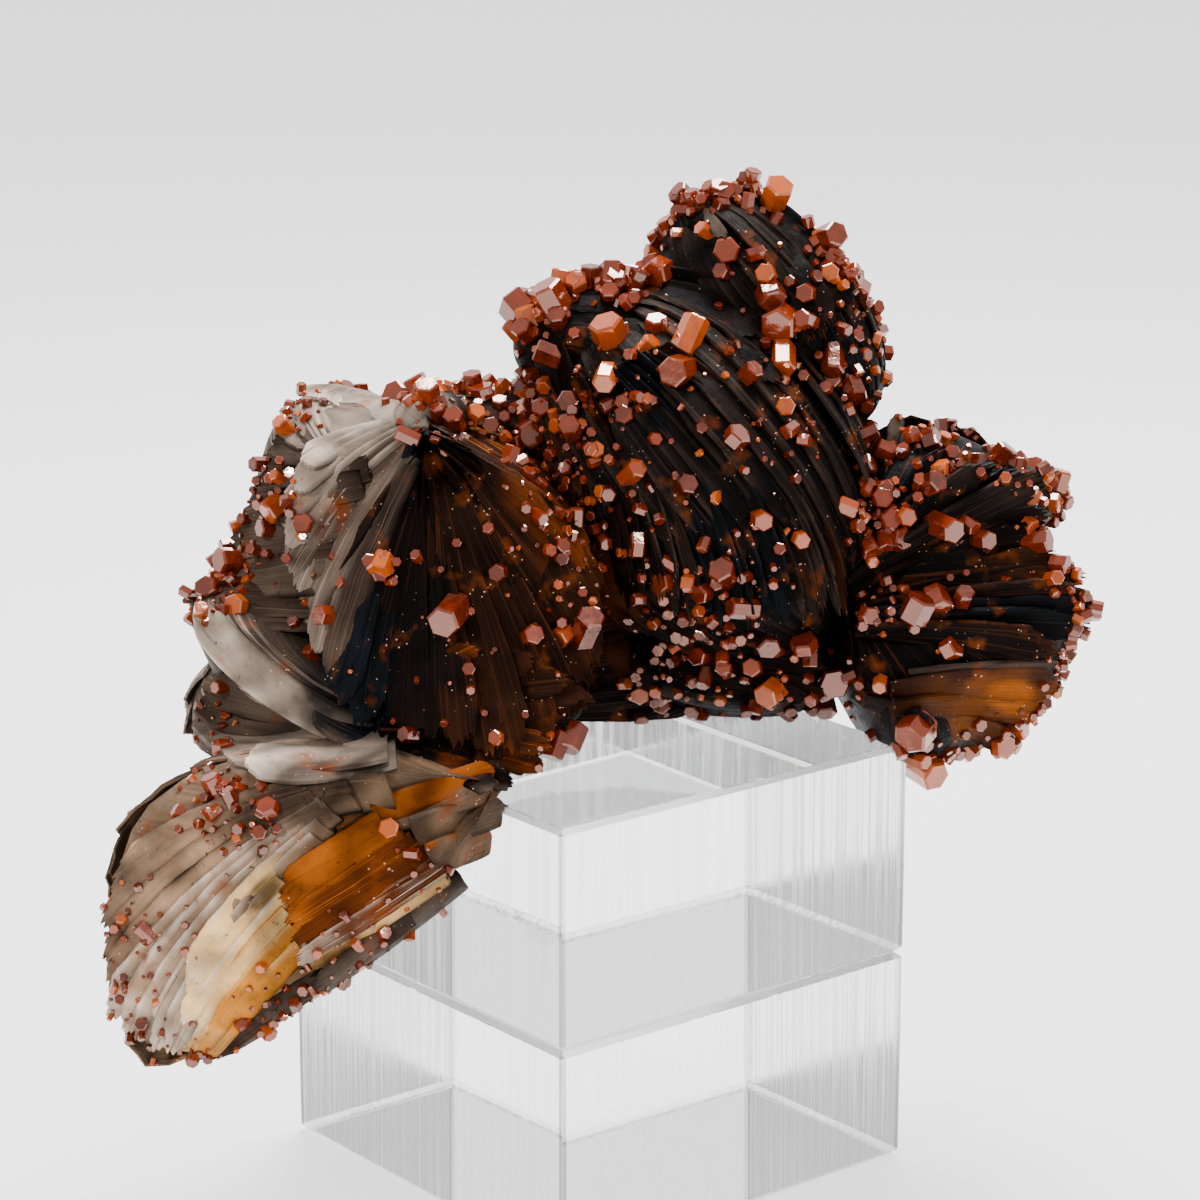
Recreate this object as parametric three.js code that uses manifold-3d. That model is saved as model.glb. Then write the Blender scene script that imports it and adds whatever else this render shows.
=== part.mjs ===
// Vanadinite crystals on bladed barite, resting on a stand of two clear acrylic blocks.
// Millimetres, +Z up. The origin is the middle of the lower block's base, and -Y is the display side.
import * as THREE from 'three';
import { mergeVertices } from 'three/addons/utils/BufferGeometryUtils.js';
import Module from 'manifold-3d';

const wasm = await Module();
wasm.setup();

// Stand
const BLOCK_SIDE = 40;
const BLOCK_HEIGHT = 20;
const BLOCK_CHAMFER = 0.5;
const BLOCK_TURN = THREE.MathUtils.degToRad(38.95);
const CONTACT_GAP = 0.1;
const REST_GAP = 0.3;
const UPPER_BASE = BLOCK_HEIGHT + CONTACT_GAP;

// The specimen is laid out in a display frame that leans back, as it is looked at from a little above:
// u to the right, v up and w towards the eye, in millimetres from DISPLAY_CENTRE.
const DISPLAY_LEAN = THREE.MathUtils.degToRad(14.9);
const DISPLAY_CENTRE = new THREE.Vector3(0.28, 0, 52.9);
const EYE_DISTANCE = 338;

// Rosettes of barite blades. Each one is a ribbed body round an axis, and its ribs are the rims of its
// blades. reach lists the angle round the axis, in degrees, and the distance out to the rims there.
// depth is half the extent along the axis, tip is the part of it left on the axis itself, and belly, from
// 0 to 1, says whether the blades are deepest on the axis or halfway out. notch is the share of the reach
// that the valleys between the blades fall short by.
const ROSETTES = [
  {
    name: 'leftDome', centre: [-15, 15, 7.5], axis: [0.06, -0.05, 1], ribs: 13, from: 236, to: 330,
    notch: 0.05, depth: 11, tip: 3, belly: 0.9,
    reach: [
      [238, 20], [250, 26], [261, 29], [271, 31], [281, 31.5], [292, 30], [308, 25.5], [318, 20.5],
      [330, 13],
    ],
  },
  {
    name: 'leftLower', centre: [-19, -14.5, 9], axis: [0, -0.12, 1], ribs: 6, from: -8, to: 60,
    notch: 0.08, depth: 9.5, tip: 2.5, belly: 0.8,
    reach: [[-8, 9], [0, 13], [15, 19], [30, 21], [46, 16], [60, 9]],
  },
  {
    name: 'leftPetals', centre: [-14, 11, 3], axis: [0.1, -0.42, 0.9], ribs: 7, from: 138, to: 236,
    notch: 0.12, depth: 9, tip: 3, belly: 0.7,
    reach: [[140, 10], [151, 16], [165, 17], [177, 17.5], [190, 19], [200, 22], [212, 23.5], [236, 20]],
  },
  {
    name: 'leftSkirt', centre: [-16, -8.5, 4], axis: [0.05, -0.5, 0.86], ribs: 5, from: 145, to: 216,
    notch: 0.1, depth: 7, tip: 2.5, belly: 0.7,
    reach: [[145, 18], [154, 24], [162, 21.5], [170, 19.5], [180, 21.5], [190, 22], [200, 18.5], [212, 14]],
  },
  {
    name: 'lowerLobe', centre: [-9.5, -14.5, 16.5], axis: [0.12, -0.2, 0.97], ribs: 11, from: 170, to: 238,
    notch: 0.06, depth: 6.5, tip: 3, belly: 0.5,
    reach: [
      [170, 15], [175, 21], [180, 27], [185, 31], [190, 33.5], [198, 35.5], [206, 38.5], [214, 40.5],
      [221, 40], [226, 34], [230, 23], [234, 15], [238, 10],
    ],
  },
  {
    name: 'saddle', centre: [-12, 13.8, 0], axis: [1, 0.04, -0.1], ribs: 6, from: 0, to: 360,
    notch: 0.12, depth: 11, tip: 0, belly: 0,
    reach: [[0, 6.5], [90, 5], [180, 6.5], [270, 5]],
  },
  {
    name: 'middle', centre: [9.3, 11, -1], axis: [0.62, -0.78, 0.05], ribs: 17, from: 0, to: 360,
    notch: 0.15, depth: 19, tip: 0, belly: 0,
    reach: [[0, 15], [60, 14.5], [90, 14], [180, 12.5], [270, 15], [300, 15]],
  },
  {
    name: 'crest', centre: [2, 22, 0], axis: [1, -0.2, 0], ribs: 7, from: 0, to: 360,
    notch: 0.15, depth: 10.5, tip: 0, belly: 0,
    reach: [[0, 7.5], [90, 6], [180, 7], [270, 7.2]],
  },
  {
    name: 'upperRight', centre: [15.8, 26, -3], axis: [0.62, -0.78, 0], ribs: 11, from: 0, to: 360,
    notch: 0.14, depth: 13.6, tip: 0, belly: 0,
    reach: [[0, 9], [90, 7.5], [180, 8.5], [270, 7.6]],
  },
  {
    name: 'foot', centre: [12.5, -5.2, -4.5], axis: [1, -0.06, 0], ribs: 8, from: 0, to: 360,
    notch: 0.14, depth: 11, tip: 0, belly: 0,
    reach: [[0, 9], [90, 4.6], [118, 6.5], [145, 10.5], [180, 10], [270, 5]],
  },
  {
    name: 'right', centre: [20.5, 1, -5], axis: [0.08, 0.05, 1], ribs: 11, from: -72, to: 70,
    notch: 0.08, depth: 11.5, tip: 3, belly: 0.8,
    reach: [
      [-72, 16], [-66, 19.5], [-50, 20.5], [-36, 23], [-20, 24.5], [-8, 24.5], [0, 25], [12, 23], [23, 25],
      [40, 21], [62, 18], [70, 14],
    ],
  },
  {
    name: 'back', centre: [3, 0.5, -11], axis: [0.95, 0.25, 0], ribs: 9, from: 0, to: 360,
    notch: 0.14, depth: 17.5, tip: 0, belly: 0,
    reach: [[0, 10], [90, 12.5], [180, 9.5], [270, 11]],
  },
];
const BACK_REACH = 4;
const RIB_SPREAD = 0.07;
const FOLD = 0.2;

// Vanadinite crystals that face the display side, as [u, v, width] on the plane through DISPLAY_CENTRE.
const CRYSTALS = [
  // on the middle rosette
  [-7, 26.4, 3.7], [-4, 26.6, 3.2], [0.9, 24, 3.2], [1.7, -2.4, 3], [1.2, 32, 2.8], [7.3, 20.9, 2.8],
  [5.4, 29.8, 2.7], [8, 23.7, 2.5], [11.5, 2.3, 2.5], [3.6, 4.9, 2.5], [3.2, 31.3, 2.3], [-2.3, 30.7, 2.3],
  [-4.4, 22.1, 2.3], [12.3, 14.6, 2.3], [-6.4, 24.2, 2.1], [5.1, 24.7, 2.1], [0.7, 20.3, 2.1],
  [-2.5, 18, 2.1], [-2.4, 15.2, 2.1], [-5.4, 28.4, 1.9],
  // on the upper right rosette
  [16.6, 25, 3.4], [16, 36.7, 2.8], [15.5, 27.5, 2.7], [20.8, 33, 2.5], [11.6, 31.5, 2.5], [16.6, 22, 2.3],
  [22.8, 19, 2.3], [21.1, 21.8, 2.1], [11.2, 36.7, 1.9], [13, 39.4, 1.8], [11, 37.8, 1.8],
  [6.5, 35.8, 1.8], [5.6, 33.2, 1.8], [23.7, 27.9, 1.8],
  // on the foot
  [20.8, -7.2, 3], [18.4, -4.2, 2.5], [15.7, -8.1, 2.5], [15.2, -4, 2.3], [22, -10.2, 2.1],
  // on the right rosette
  [28.9, -11.7, 3.4], [29.2, -15, 3], [28.7, -1.1, 2.8], [30.9, 6.8, 2.5], [30.5, 0.1, 2.5],
  [36.5, -13.1, 2.5], [29.9, 10.4, 2.3], [27.1, 5.6, 2.3], [41.7, 5.5, 2.3], [31.8, -4.4, 2.3],
  [38.8, -12, 2.3], [29.9, 14.4, 2.1], [36.2, 12.6, 2.1], [26.2, 7.3, 2.1], [43.1, 10.7, 2.1],
  [42.7, 3.3, 1.9], [45.2, -1.1, 1.9],
  // on the left rosette
  [-18.9, 19, 3.9], [-15.6, 18.1, 3], [-19.8, 3.2, 3], [-13.5, -1.4, 3], [-6.7, 14.9, 2.7],
  [-32.8, 3.4, 2.5], [-29.2, 8.3, 2.3], [-35.7, 0.7, 2.3], [-4.7, -15.6, 2.3], [-10.6, 18.5, 2.3],
  [-17.2, 20, 2.1], [-33, -0.7, 2.1], [-2.8, -14.4, 2.1], [-7.7, 18.8, 1.9],
  // on the lower lobe
  [-30.1, -19, 1.9], [-34.9, -17.2, 1.8],
];
const CRYSTAL_LENGTH = [0.75, 1.25];
const CRYSTAL_SINK = 0.12;
const CRYSTAL_LEAN = 50;

// Crystals on the sides that face away, spread over the middle of the specimen and out along it
const HIDDEN_CRYSTALS = 28;
const HIDDEN_WIDTH = [1.9, 3.2];
const HIDDEN_MIDDLE = new THREE.Vector3(2, 4, -2);
const HIDDEN_SPREAD = [22, 9];
const FAR_OFF = 90;

const displayToWorld = new THREE.Matrix4()
  .makeRotationX(Math.PI / 2 - DISPLAY_LEAN)
  .setPosition(DISPLAY_CENTRE);
const worldToDisplay = displayToWorld.clone().invert();
const radians = THREE.MathUtils.degToRad;
const eye = new THREE.Vector3(0, 0, EYE_DISTANCE);

// An even-spread number from 0 to 1 for the whole number n in the stream k.
function spread(n, k) {
  const x = (n + 1) * 0.6180339887 * (1 + 0.37 * k) + 0.173 * k;
  return x - Math.floor(x);
}

// The distance listed in reach at an angle. A list that stops short of a full turn has blades on one side.
function reachAt(rosette, angle) {
  const list = rosette.reach;
  const whole = rosette.to - rosette.from === 360;
  const points = whole ? [...list, [list[0][0] + 360, list[0][1]]] : list;
  for (let i = 0; i + 1 < points.length; i++) {
    const [start, near] = points[i];
    const [end, far] = points[i + 1];
    if (angle >= start && angle <= end) return THREE.MathUtils.mapLinear(angle, start, end, near, far);
  }
  return angle < list[0][0] ? list[0][1] : list[list.length - 1][1];
}

// The columns of a rosette as [angle, reach, swell], with a valley between each two ribs. In a rosette that
// spreads to one side the blades also fold in along the axis by FOLD.
function columnsOf(rosette, seed) {
  const columns = [];
  const step = (rosette.to - rosette.from) / (2 * rosette.ribs);
  for (let i = 0; i < 2 * rosette.ribs; i++) {
    const wobble = (spread(seed + i, 3) - 0.5) * 0.5 * step;
    const angle = rosette.from + step * (i + 0.5) + wobble;
    const rib = 1 + RIB_SPREAD * (spread(seed + i, 1) - 0.6);
    const isRib = i % 2 === 0;
    const out = reachAt(rosette, angle) * (isRib ? rib : rib - rosette.notch);
    columns.push([angle, out, isRib ? 1 : 1 - FOLD]);
  }
  if (rosette.to - rosette.from < 360) {
    const rest = 360 - (rosette.to - rosette.from);
    for (const share of [0.2, 0.5, 0.8]) columns.push([rosette.to + share * rest, BACK_REACH, 1]);
  }
  return columns;
}

// A rosette as one closed solid: rows run from one end of the axis to the other.
function rosetteSolid(rosette, seed) {
  const axis = new THREE.Vector3(...rosette.axis).normalize();
  const facing = Math.abs(axis.z) > 0.7 ? new THREE.Vector3(1, 0, 0) : new THREE.Vector3(0, 0, 1);
  const zero = facing.addScaledVector(axis, -facing.dot(axis)).normalize();
  const quarter = axis.clone().cross(zero);
  const columns = columnsOf(rosette, seed);
  const rows = rosette.belly > 0 ? 8 : 6;
  const { depth, tip, belly } = rosette;
  const centre = new THREE.Vector3(...rosette.centre);
  const end = tip + (1 - belly) * depth;
  const points = [centre.clone().addScaledVector(axis, end), centre.clone().addScaledVector(axis, -end)];
  for (let row = 1; row < rows; row++) {
    const slope = Math.PI * (0.5 - row / rows);
    const outShare = (1 - belly) * Math.cos(slope) ** 0.85 + belly * (1 + Math.cos(2 * slope)) / 2;
    for (const [angle, reach, swell] of columns) {
      const short = swell * Math.min(1, reach / depth);
      const onAxis = ((1 - belly) * depth + tip) * Math.sin(slope);
      const along = onAxis + belly * depth * short * Math.sin(2 * slope);
      points.push(centre.clone()
        .addScaledVector(zero, Math.cos(radians(angle)) * reach * outShare)
        .addScaledVector(quarter, Math.sin(radians(angle)) * reach * outShare)
        .addScaledVector(axis, along));
    }
  }
  const at = (row, column) => 2 + (row - 1) * columns.length + (column % columns.length);
  const faces = [];
  for (let c = 0; c < columns.length; c++) {
    faces.push([0, at(1, c), at(1, c + 1)], [1, at(rows - 1, c + 1), at(rows - 1, c)]);
    for (let row = 1; row + 1 < rows; row++) {
      faces.push([at(row, c), at(row + 1, c), at(row + 1, c + 1)]);
      faces.push([at(row, c), at(row + 1, c + 1), at(row, c + 1)]);
    }
  }
  return new wasm.Manifold(new wasm.Mesh({
    numProp: 3,
    vertProperties: new Float32Array(points.flatMap((p) => [p.x, p.y, p.z])),
    triVerts: new Uint32Array(faces.flat()),
  }));
}

// A closed geometry as a solid.
function solidOf(geometry) {
  const bare = geometry.clone();
  bare.deleteAttribute('normal');
  bare.deleteAttribute('uv');
  const merged = mergeVertices(bare, 1e-4);
  return new wasm.Manifold(new wasm.Mesh({
    numProp: 3,
    vertProperties: new Float32Array(merged.attributes.position.array),
    triVerts: new Uint32Array(merged.index.array),
  }));
}

function geometryOf(solid) {
  const mesh = solid.getMesh();
  const positions = new Float32Array(mesh.numVert * 3);
  for (let i = 0; i < mesh.numVert; i++) {
    positions.set(mesh.vertProperties.subarray(i * mesh.numProp, i * mesh.numProp + 3), i * 3);
  }
  const geometry = new THREE.BufferGeometry();
  geometry.setAttribute('position', new THREE.BufferAttribute(positions, 3));
  geometry.setIndex(new THREE.BufferAttribute(mesh.triVerts, 1));
  return geometry;
}

function largest(solid) {
  return solid.decompose().reduce((a, b) => (a.volume() > b.volume() ? a : b));
}

// A block, centred on the origin, with grow added all round.
function blockGeometry(grow) {
  const half = BLOCK_SIDE / 2 - BLOCK_CHAMFER;
  const square = new THREE.Shape([
    new THREE.Vector2(-half, -half),
    new THREE.Vector2(half, -half),
    new THREE.Vector2(half, half),
    new THREE.Vector2(-half, half),
  ]);
  const block = new THREE.ExtrudeGeometry(square, {
    depth: BLOCK_HEIGHT - 2 * BLOCK_CHAMFER,
    bevelEnabled: true,
    bevelThickness: BLOCK_CHAMFER,
    bevelSize: BLOCK_CHAMFER,
    bevelSegments: 1,
  });
  block.translate(0, 0, BLOCK_CHAMFER - BLOCK_HEIGHT / 2);
  return block.scale(1 + 2 * grow / BLOCK_SIDE, 1 + 2 * grow / BLOCK_SIDE, 1 + 2 * grow / BLOCK_HEIGHT);
}

// The room that the stand takes up, with the clearance for what rests on it, in the display frame.
function standSpace() {
  const space = [0, UPPER_BASE].map((base) => {
    const place = new THREE.Matrix4()
      .makeRotationZ(BLOCK_TURN)
      .setPosition(0, 0, base + BLOCK_HEIGHT / 2);
    return solidOf(blockGeometry(REST_GAP).applyMatrix4(place).applyMatrix4(worldToDisplay));
  });
  return wasm.Manifold.union(space);
}

// Finds where a straight line meets the barite, and the direction that the surface faces there.
function hitOn(barite, from, towards) {
  const ray = new THREE.Raycaster(from, towards.clone().sub(from).normalize());
  const [hit] = ray.intersectObject(barite);
  return hit ? { point: hit.point, normal: hit.face.normal.clone() } : null;
}

// Where a crystal seen at u and v grows: a place past the rim is drawn in until it meets the barite.
function seatOf(barite, u, v) {
  const target = new THREE.Vector3(u, v, 0);
  const middle = new THREE.Vector3(u * 0.6, v * 0.6, 0);
  for (let share = 0; share < 1; share += 0.03) {
    const drawn = target.clone().lerp(middle, share);
    const hit = hitOn(barite, eye, drawn);
    if (hit) {
      if (share > 0) hit.normal.add(target.clone().sub(middle).normalize()).normalize();
      return hit;
    }
  }
  return null;
}

// One six-sided crystal with flat ends, standing out of its seat at a lean.
function crystalSolid(seat, width, seed) {
  const length = width * THREE.MathUtils.lerp(...CRYSTAL_LENGTH, spread(seed, 4));
  const prism = new THREE.CylinderGeometry(width / 2, width / 2, length, 6);
  const lean = radians(CRYSTAL_LEAN * spread(seed, 5));
  const round = 2 * Math.PI * spread(seed, 6);
  const upright = new THREE.Quaternion().setFromUnitVectors(new THREE.Vector3(0, 1, 0), seat.normal);
  const hinge = new THREE.Vector3(Math.cos(round), 0, Math.sin(round));
  const tilt = new THREE.Quaternion().setFromAxisAngle(hinge, lean);
  const twist = new THREE.Quaternion().setFromAxisAngle(new THREE.Vector3(0, 1, 0), round * 3);
  prism.applyQuaternion(twist).applyQuaternion(tilt).applyQuaternion(upright);
  const middle = seat.point.clone().addScaledVector(seat.normal, width * CRYSTAL_SINK);
  return solidOf(prism.translate(middle.x, middle.y, middle.z));
}

// Where the hidden crystals grow. They are looked for from directions that the golden angle spreads evenly
// round the back, from a little in front of the sides to straight behind.
function hiddenSeats(barite) {
  const seats = [];
  for (let i = 0; i < HIDDEN_CRYSTALS; i++) {
    const lift = THREE.MathUtils.lerp(0.25, -0.95, (i + 0.5) / HIDDEN_CRYSTALS);
    const round = i * radians(137.5);
    const ring = Math.sqrt(1 - lift * lift);
    const away = new THREE.Vector3(ring * Math.cos(round), ring * Math.sin(round), lift);
    const aside = new THREE.Vector3(
      HIDDEN_SPREAD[0] * (2 * spread(i, 8) - 1),
      HIDDEN_SPREAD[1] * (2 * spread(i, 9) - 1),
      0,
    );
    const aim = HIDDEN_MIDDLE.clone().add(aside);
    const hit = hitOn(barite, away.multiplyScalar(FAR_OFF).add(aim), aim);
    if (hit) seats.push(hit);
  }
  return seats;
}

const clearance = standSpace();
const bodies = ROSETTES.map((rosette, i) => rosetteSolid(rosette, 20 * i));
const bareBarite = largest(wasm.Manifold.union(bodies));
const bariteMesh = new THREE.Mesh(geometryOf(bareBarite), new THREE.MeshStandardMaterial());
bariteMesh.geometry.computeBoundingSphere();
bariteMesh.updateMatrixWorld();

const crystals = [];
CRYSTALS.forEach(([u, v, width], i) => {
  const seat = seatOf(bariteMesh, u, v);
  if (seat) crystals.push(crystalSolid(seat, width, i));
});
hiddenSeats(bariteMesh).forEach((seat, i) => {
  crystals.push(crystalSolid(seat, THREE.MathUtils.lerp(...HIDDEN_WIDTH, spread(i, 7)), 200 + i));
});
const grown = wasm.Manifold.union([bareBarite, ...crystals]);

const part = new THREE.Group();
const specimen = new THREE.Mesh(
  geometryOf(largest(grown.subtract(clearance))),
  new THREE.MeshStandardMaterial({ color: 0x4a2b1c, roughness: 0.45, metalness: 0 }),
);
specimen.name = 'vanadinite_on_barite';
const display = new THREE.Group();
display.applyMatrix4(displayToWorld);
display.add(specimen);
part.add(display);

for (const [name, base] of [['lower_acrylic_block', 0], ['upper_acrylic_block', UPPER_BASE]]) {
  const acrylic = new THREE.MeshStandardMaterial({ color: 0xeef1f2, roughness: 0.05, metalness: 0 });
  const block = new THREE.Mesh(blockGeometry(0), acrylic);
  block.name = name;
  block.position.set(0, 0, base + BLOCK_HEIGHT / 2);
  block.rotation.z = BLOCK_TURN;
  part.add(block);
}

export default part;
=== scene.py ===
import math

import bpy
import numpy as np
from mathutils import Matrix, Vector
from mathutils.bvhtree import BVHTree


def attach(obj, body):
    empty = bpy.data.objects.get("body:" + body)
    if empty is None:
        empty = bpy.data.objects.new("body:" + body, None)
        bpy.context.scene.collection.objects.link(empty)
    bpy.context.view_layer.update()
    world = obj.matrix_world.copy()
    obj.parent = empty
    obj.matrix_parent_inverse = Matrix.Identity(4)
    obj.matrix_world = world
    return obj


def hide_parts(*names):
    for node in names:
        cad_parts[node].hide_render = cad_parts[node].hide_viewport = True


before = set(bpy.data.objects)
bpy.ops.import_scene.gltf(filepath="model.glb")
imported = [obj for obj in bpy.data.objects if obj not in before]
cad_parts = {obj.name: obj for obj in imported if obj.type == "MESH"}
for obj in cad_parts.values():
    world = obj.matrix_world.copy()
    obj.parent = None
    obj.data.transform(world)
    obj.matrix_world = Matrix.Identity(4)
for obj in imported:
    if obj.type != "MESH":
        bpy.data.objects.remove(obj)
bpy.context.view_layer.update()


# Camera
# It looks a little down on the display side from about a third of a metre, through a long lens.
EYE = (0.00028, -0.32697, 0.13987)
LENS_MM = 111.86
LOOK_DOWN = math.radians(14.91)

camera_data = bpy.data.cameras.new("camera")
camera_data.lens = LENS_MM
camera_data.sensor_width = 36
camera_data.clip_start = 0.01
camera = bpy.data.objects.new("camera", camera_data)
camera.location = EYE
camera.rotation_euler = (math.pi / 2 - LOOK_DOWN, 0, 0)
bpy.context.scene.collection.objects.link(camera)
bpy.context.scene.camera = camera


# Studio light
# A big soft panel overhead and behind, a softer one at the front left, and a dim even surround. The
# brightest part of the room is the pale sweep under and behind the stand.
WORLD_GREY = (0.80, 0.80, 0.81, 1)
WORLD_STRENGTH = 0.95


def soft_panel(name, place, aim, size, power):
    """A square lamp at place, turned to face aim."""
    data = bpy.data.lights.new(name, "AREA")
    data.size = size
    data.energy = power
    lamp = bpy.data.objects.new(name, data)
    lamp.location = place
    lamp.rotation_euler = (Vector(aim) - Vector(place)).to_track_quat("-Z", "Y").to_euler()
    bpy.context.scene.collection.objects.link(lamp)


MIDDLE = (0, 0, 0.055)
soft_panel("back panel", (0.05, 0.16, 0.46), MIDDLE, 0.26, 9)
soft_panel("front left panel", (-0.34, -0.36, 0.34), MIDDLE, 0.06, 2.6)
soft_panel("front right panel", (0.36, -0.3, 0.30), MIDDLE, 0.05, 1.2)

world = bpy.data.worlds.new("studio")
world.use_nodes = True
world.node_tree.nodes["Background"].inputs["Color"].default_value = WORLD_GREY
world.node_tree.nodes["Background"].inputs["Strength"].default_value = WORLD_STRENGTH
bpy.context.scene.world = world


# Barite
# Rosettes of thin barite blades, grown into one another: dark brown to black where they are stained,
# grey-white where they are clean, and golden where the lower lobe is cleaved. Each rosette is a body of
# blades that spread round an axis, laid out in the display frame of the part: u right, v up, w to the eye.
DISPLAY_LEAN = math.radians(14.9)
DISPLAY_CENTRE = np.array([0.28, 0, 52.9])
DISPLAY_AXES = np.array([
    [1, 0, 0],
    [0, math.sin(DISPLAY_LEAN), math.cos(DISPLAY_LEAN)],
    [0, -math.cos(DISPLAY_LEAN), math.sin(DISPLAY_LEAN)],
])

DARK = (0.0022, 0.0017, 0.0016)
BROWN = (0.009, 0.0032, 0.0015)
UMBER = (0.026, 0.0155, 0.011)
COFFEE = (0.030, 0.0085, 0.0026)
TOFFEE = (0.085, 0.024, 0.004)
RUST = (0.12, 0.025, 0.003)
AMBER = (0.26, 0.062, 0.004)
GOLD = (0.42, 0.145, 0.014)
CREAM = (0.62, 0.37, 0.14)
GREY = (0.068, 0.047, 0.034)
ASH = (0.18, 0.135, 0.105)
SHELL = (0.17, 0.103, 0.060)
PALE = (0.32, 0.245, 0.195)
WHITE = (0.53, 0.43, 0.33)
# Blue-black, partly the blades' own colour and partly a painted blue-grey sheen.
SLATE_SHEEN = (0.0055, 0.0072, 0.0095)
# A painted highlight colour, for the tiny glints dotted on the blades.
PAINTED_GLINT = (0.42, 0.27, 0.19)

# Each row is a rosette: its middle, axis, first and last angle round the axis, the distance out to the
# rims by angle, half depth, tip, belly, how many blades grow on it, how far a blade's raised edge stands
# up, the main colour and the colour of the rims. A thin rosette also has its own reach past its span.
ROSETTES = {
    "left_dome": dict(
        centre=(-15, 15, 7.5), axis=(0.06, -0.05, 1), span=(236, 330),
        reach=[(238, 20), (250, 26), (261, 29), (271, 31), (281, 31.5), (292, 30), (308, 25.5), (318, 20.5),
               (330, 13)],
        depth=11, tip=3, belly=0.9, blades=30, stand=0.5, colour=BROWN, rim=COFFEE),
    "left_lower": dict(
        centre=(-19, -14.5, 9), axis=(0, -0.12, 1), span=(-8, 60),
        reach=[(-8, 9), (0, 13), (15, 19), (30, 21), (46, 16), (60, 9)],
        depth=9.5, tip=2.5, belly=0.8, blades=22, stand=0.5, colour=BROWN, rim=COFFEE),
    "left_petals": dict(
        centre=(-14, 11, 3), axis=(0.1, -0.42, 0.9), span=(138, 236),
        reach=[(138, 9), (151, 15.5), (165, 17), (177, 17.5), (190, 19), (200, 22), (212, 23.5), (236, 20)],
        depth=9, tip=3, belly=0.7, blades=24, stand=0.8, colour=GREY, rim=PALE),
    "left_skirt": dict(
        centre=(-16, -8.5, 4), axis=(0.05, -0.5, 0.86), span=(145, 216),
        reach=[(145, 18), (154, 24), (162, 21.5), (170, 19.5), (180, 21.5), (190, 22), (200, 18.5),
               (212, 14)],
        depth=7, tip=2.5, belly=0.7, blades=18, stand=0.8, colour=GREY, rim=PALE),
    "lower_lobe": dict(
        centre=(-9.5, -14.5, 16.5), axis=(0.12, -0.2, 0.97), span=(170, 238),
        reach=[(170, 15), (175, 21), (180, 27), (185, 31), (190, 33.5), (198, 35.5), (206, 38.5),
               (214, 40.5), (221, 40), (226, 34), (230, 23), (234, 15), (238, 10)],
        depth=6.5, tip=1.5, belly=0.5, blades=26, stand=0.6, back=1.5, colour=SHELL, rim=GREY),
    "saddle": dict(
        centre=(-12, 13.8, 0), axis=(1, 0.04, -0.1), span=(0, 360),
        reach=[(0, 6.5), (90, 5), (180, 6.5), (270, 5)],
        depth=11, tip=0, belly=0, blades=26, stand=0.9, colour=BROWN, rim=UMBER),
    "middle": dict(
        centre=(9.3, 11, -1), axis=(0.62, -0.78, 0.05), span=(0, 360),
        reach=[(0, 15), (60, 14.5), (90, 14), (180, 12.5), (270, 15), (300, 15)],
        depth=19, tip=0, belly=0, blades=64, stand=1.3, colour=DARK, rim=UMBER),
    "crest": dict(
        centre=(2, 22, 0), axis=(1, -0.2, 0), span=(0, 360),
        reach=[(0, 7.5), (90, 6), (180, 7), (270, 7.2)],
        depth=10.5, tip=0, belly=0, blades=28, stand=0.9, colour=DARK, rim=BROWN),
    "upper_right": dict(
        centre=(15.8, 26, -3), axis=(0.62, -0.78, 0), span=(0, 360),
        reach=[(0, 9), (90, 7.5), (180, 8.5), (270, 7.6)],
        depth=13.6, tip=0, belly=0, blades=40, stand=1.1, colour=DARK, rim=UMBER),
    "foot": dict(
        centre=(12.5, -5.2, -4.5), axis=(1, -0.06, 0), span=(0, 360),
        reach=[(0, 9), (90, 4.6), (118, 6.5), (145, 10.5), (180, 10), (270, 5)],
        depth=11, tip=0, belly=0, blades=30, stand=0.9, colour=DARK, rim=BROWN),
    "right": dict(
        centre=(20.5, 1, -5), axis=(0.08, 0.05, 1), span=(-72, 70),
        reach=[(-72, 16), (-66, 19.5), (-50, 20.5), (-36, 23), (-20, 24.5), (-8, 24.5), (-2, 25), (5, 21.8),
               (13, 20.6), (21, 25.8), (40, 21), (62, 18), (70, 14)],
        depth=11.5, tip=3, belly=0.8, blades=44, stand=1.0, colour=DARK, rim=COFFEE),
    "back": dict(
        centre=(3, 0.5, -11), axis=(0.95, 0.25, 0), span=(0, 360),
        reach=[(0, 10), (90, 12.5), (180, 9.5), (270, 11)],
        depth=17.5, tip=0, belly=0, blades=60, stand=1.2, colour=DARK, rim=UMBER),
}
# A fan's reach past its span, in how many degrees it gets there, and the grid and share of a core.
BACK_REACH = 4
FADE_DEGREES = 12
BODY_SHARE = 0.95
BODY_ROWS = 36
BODY_COLUMNS = 96
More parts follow.
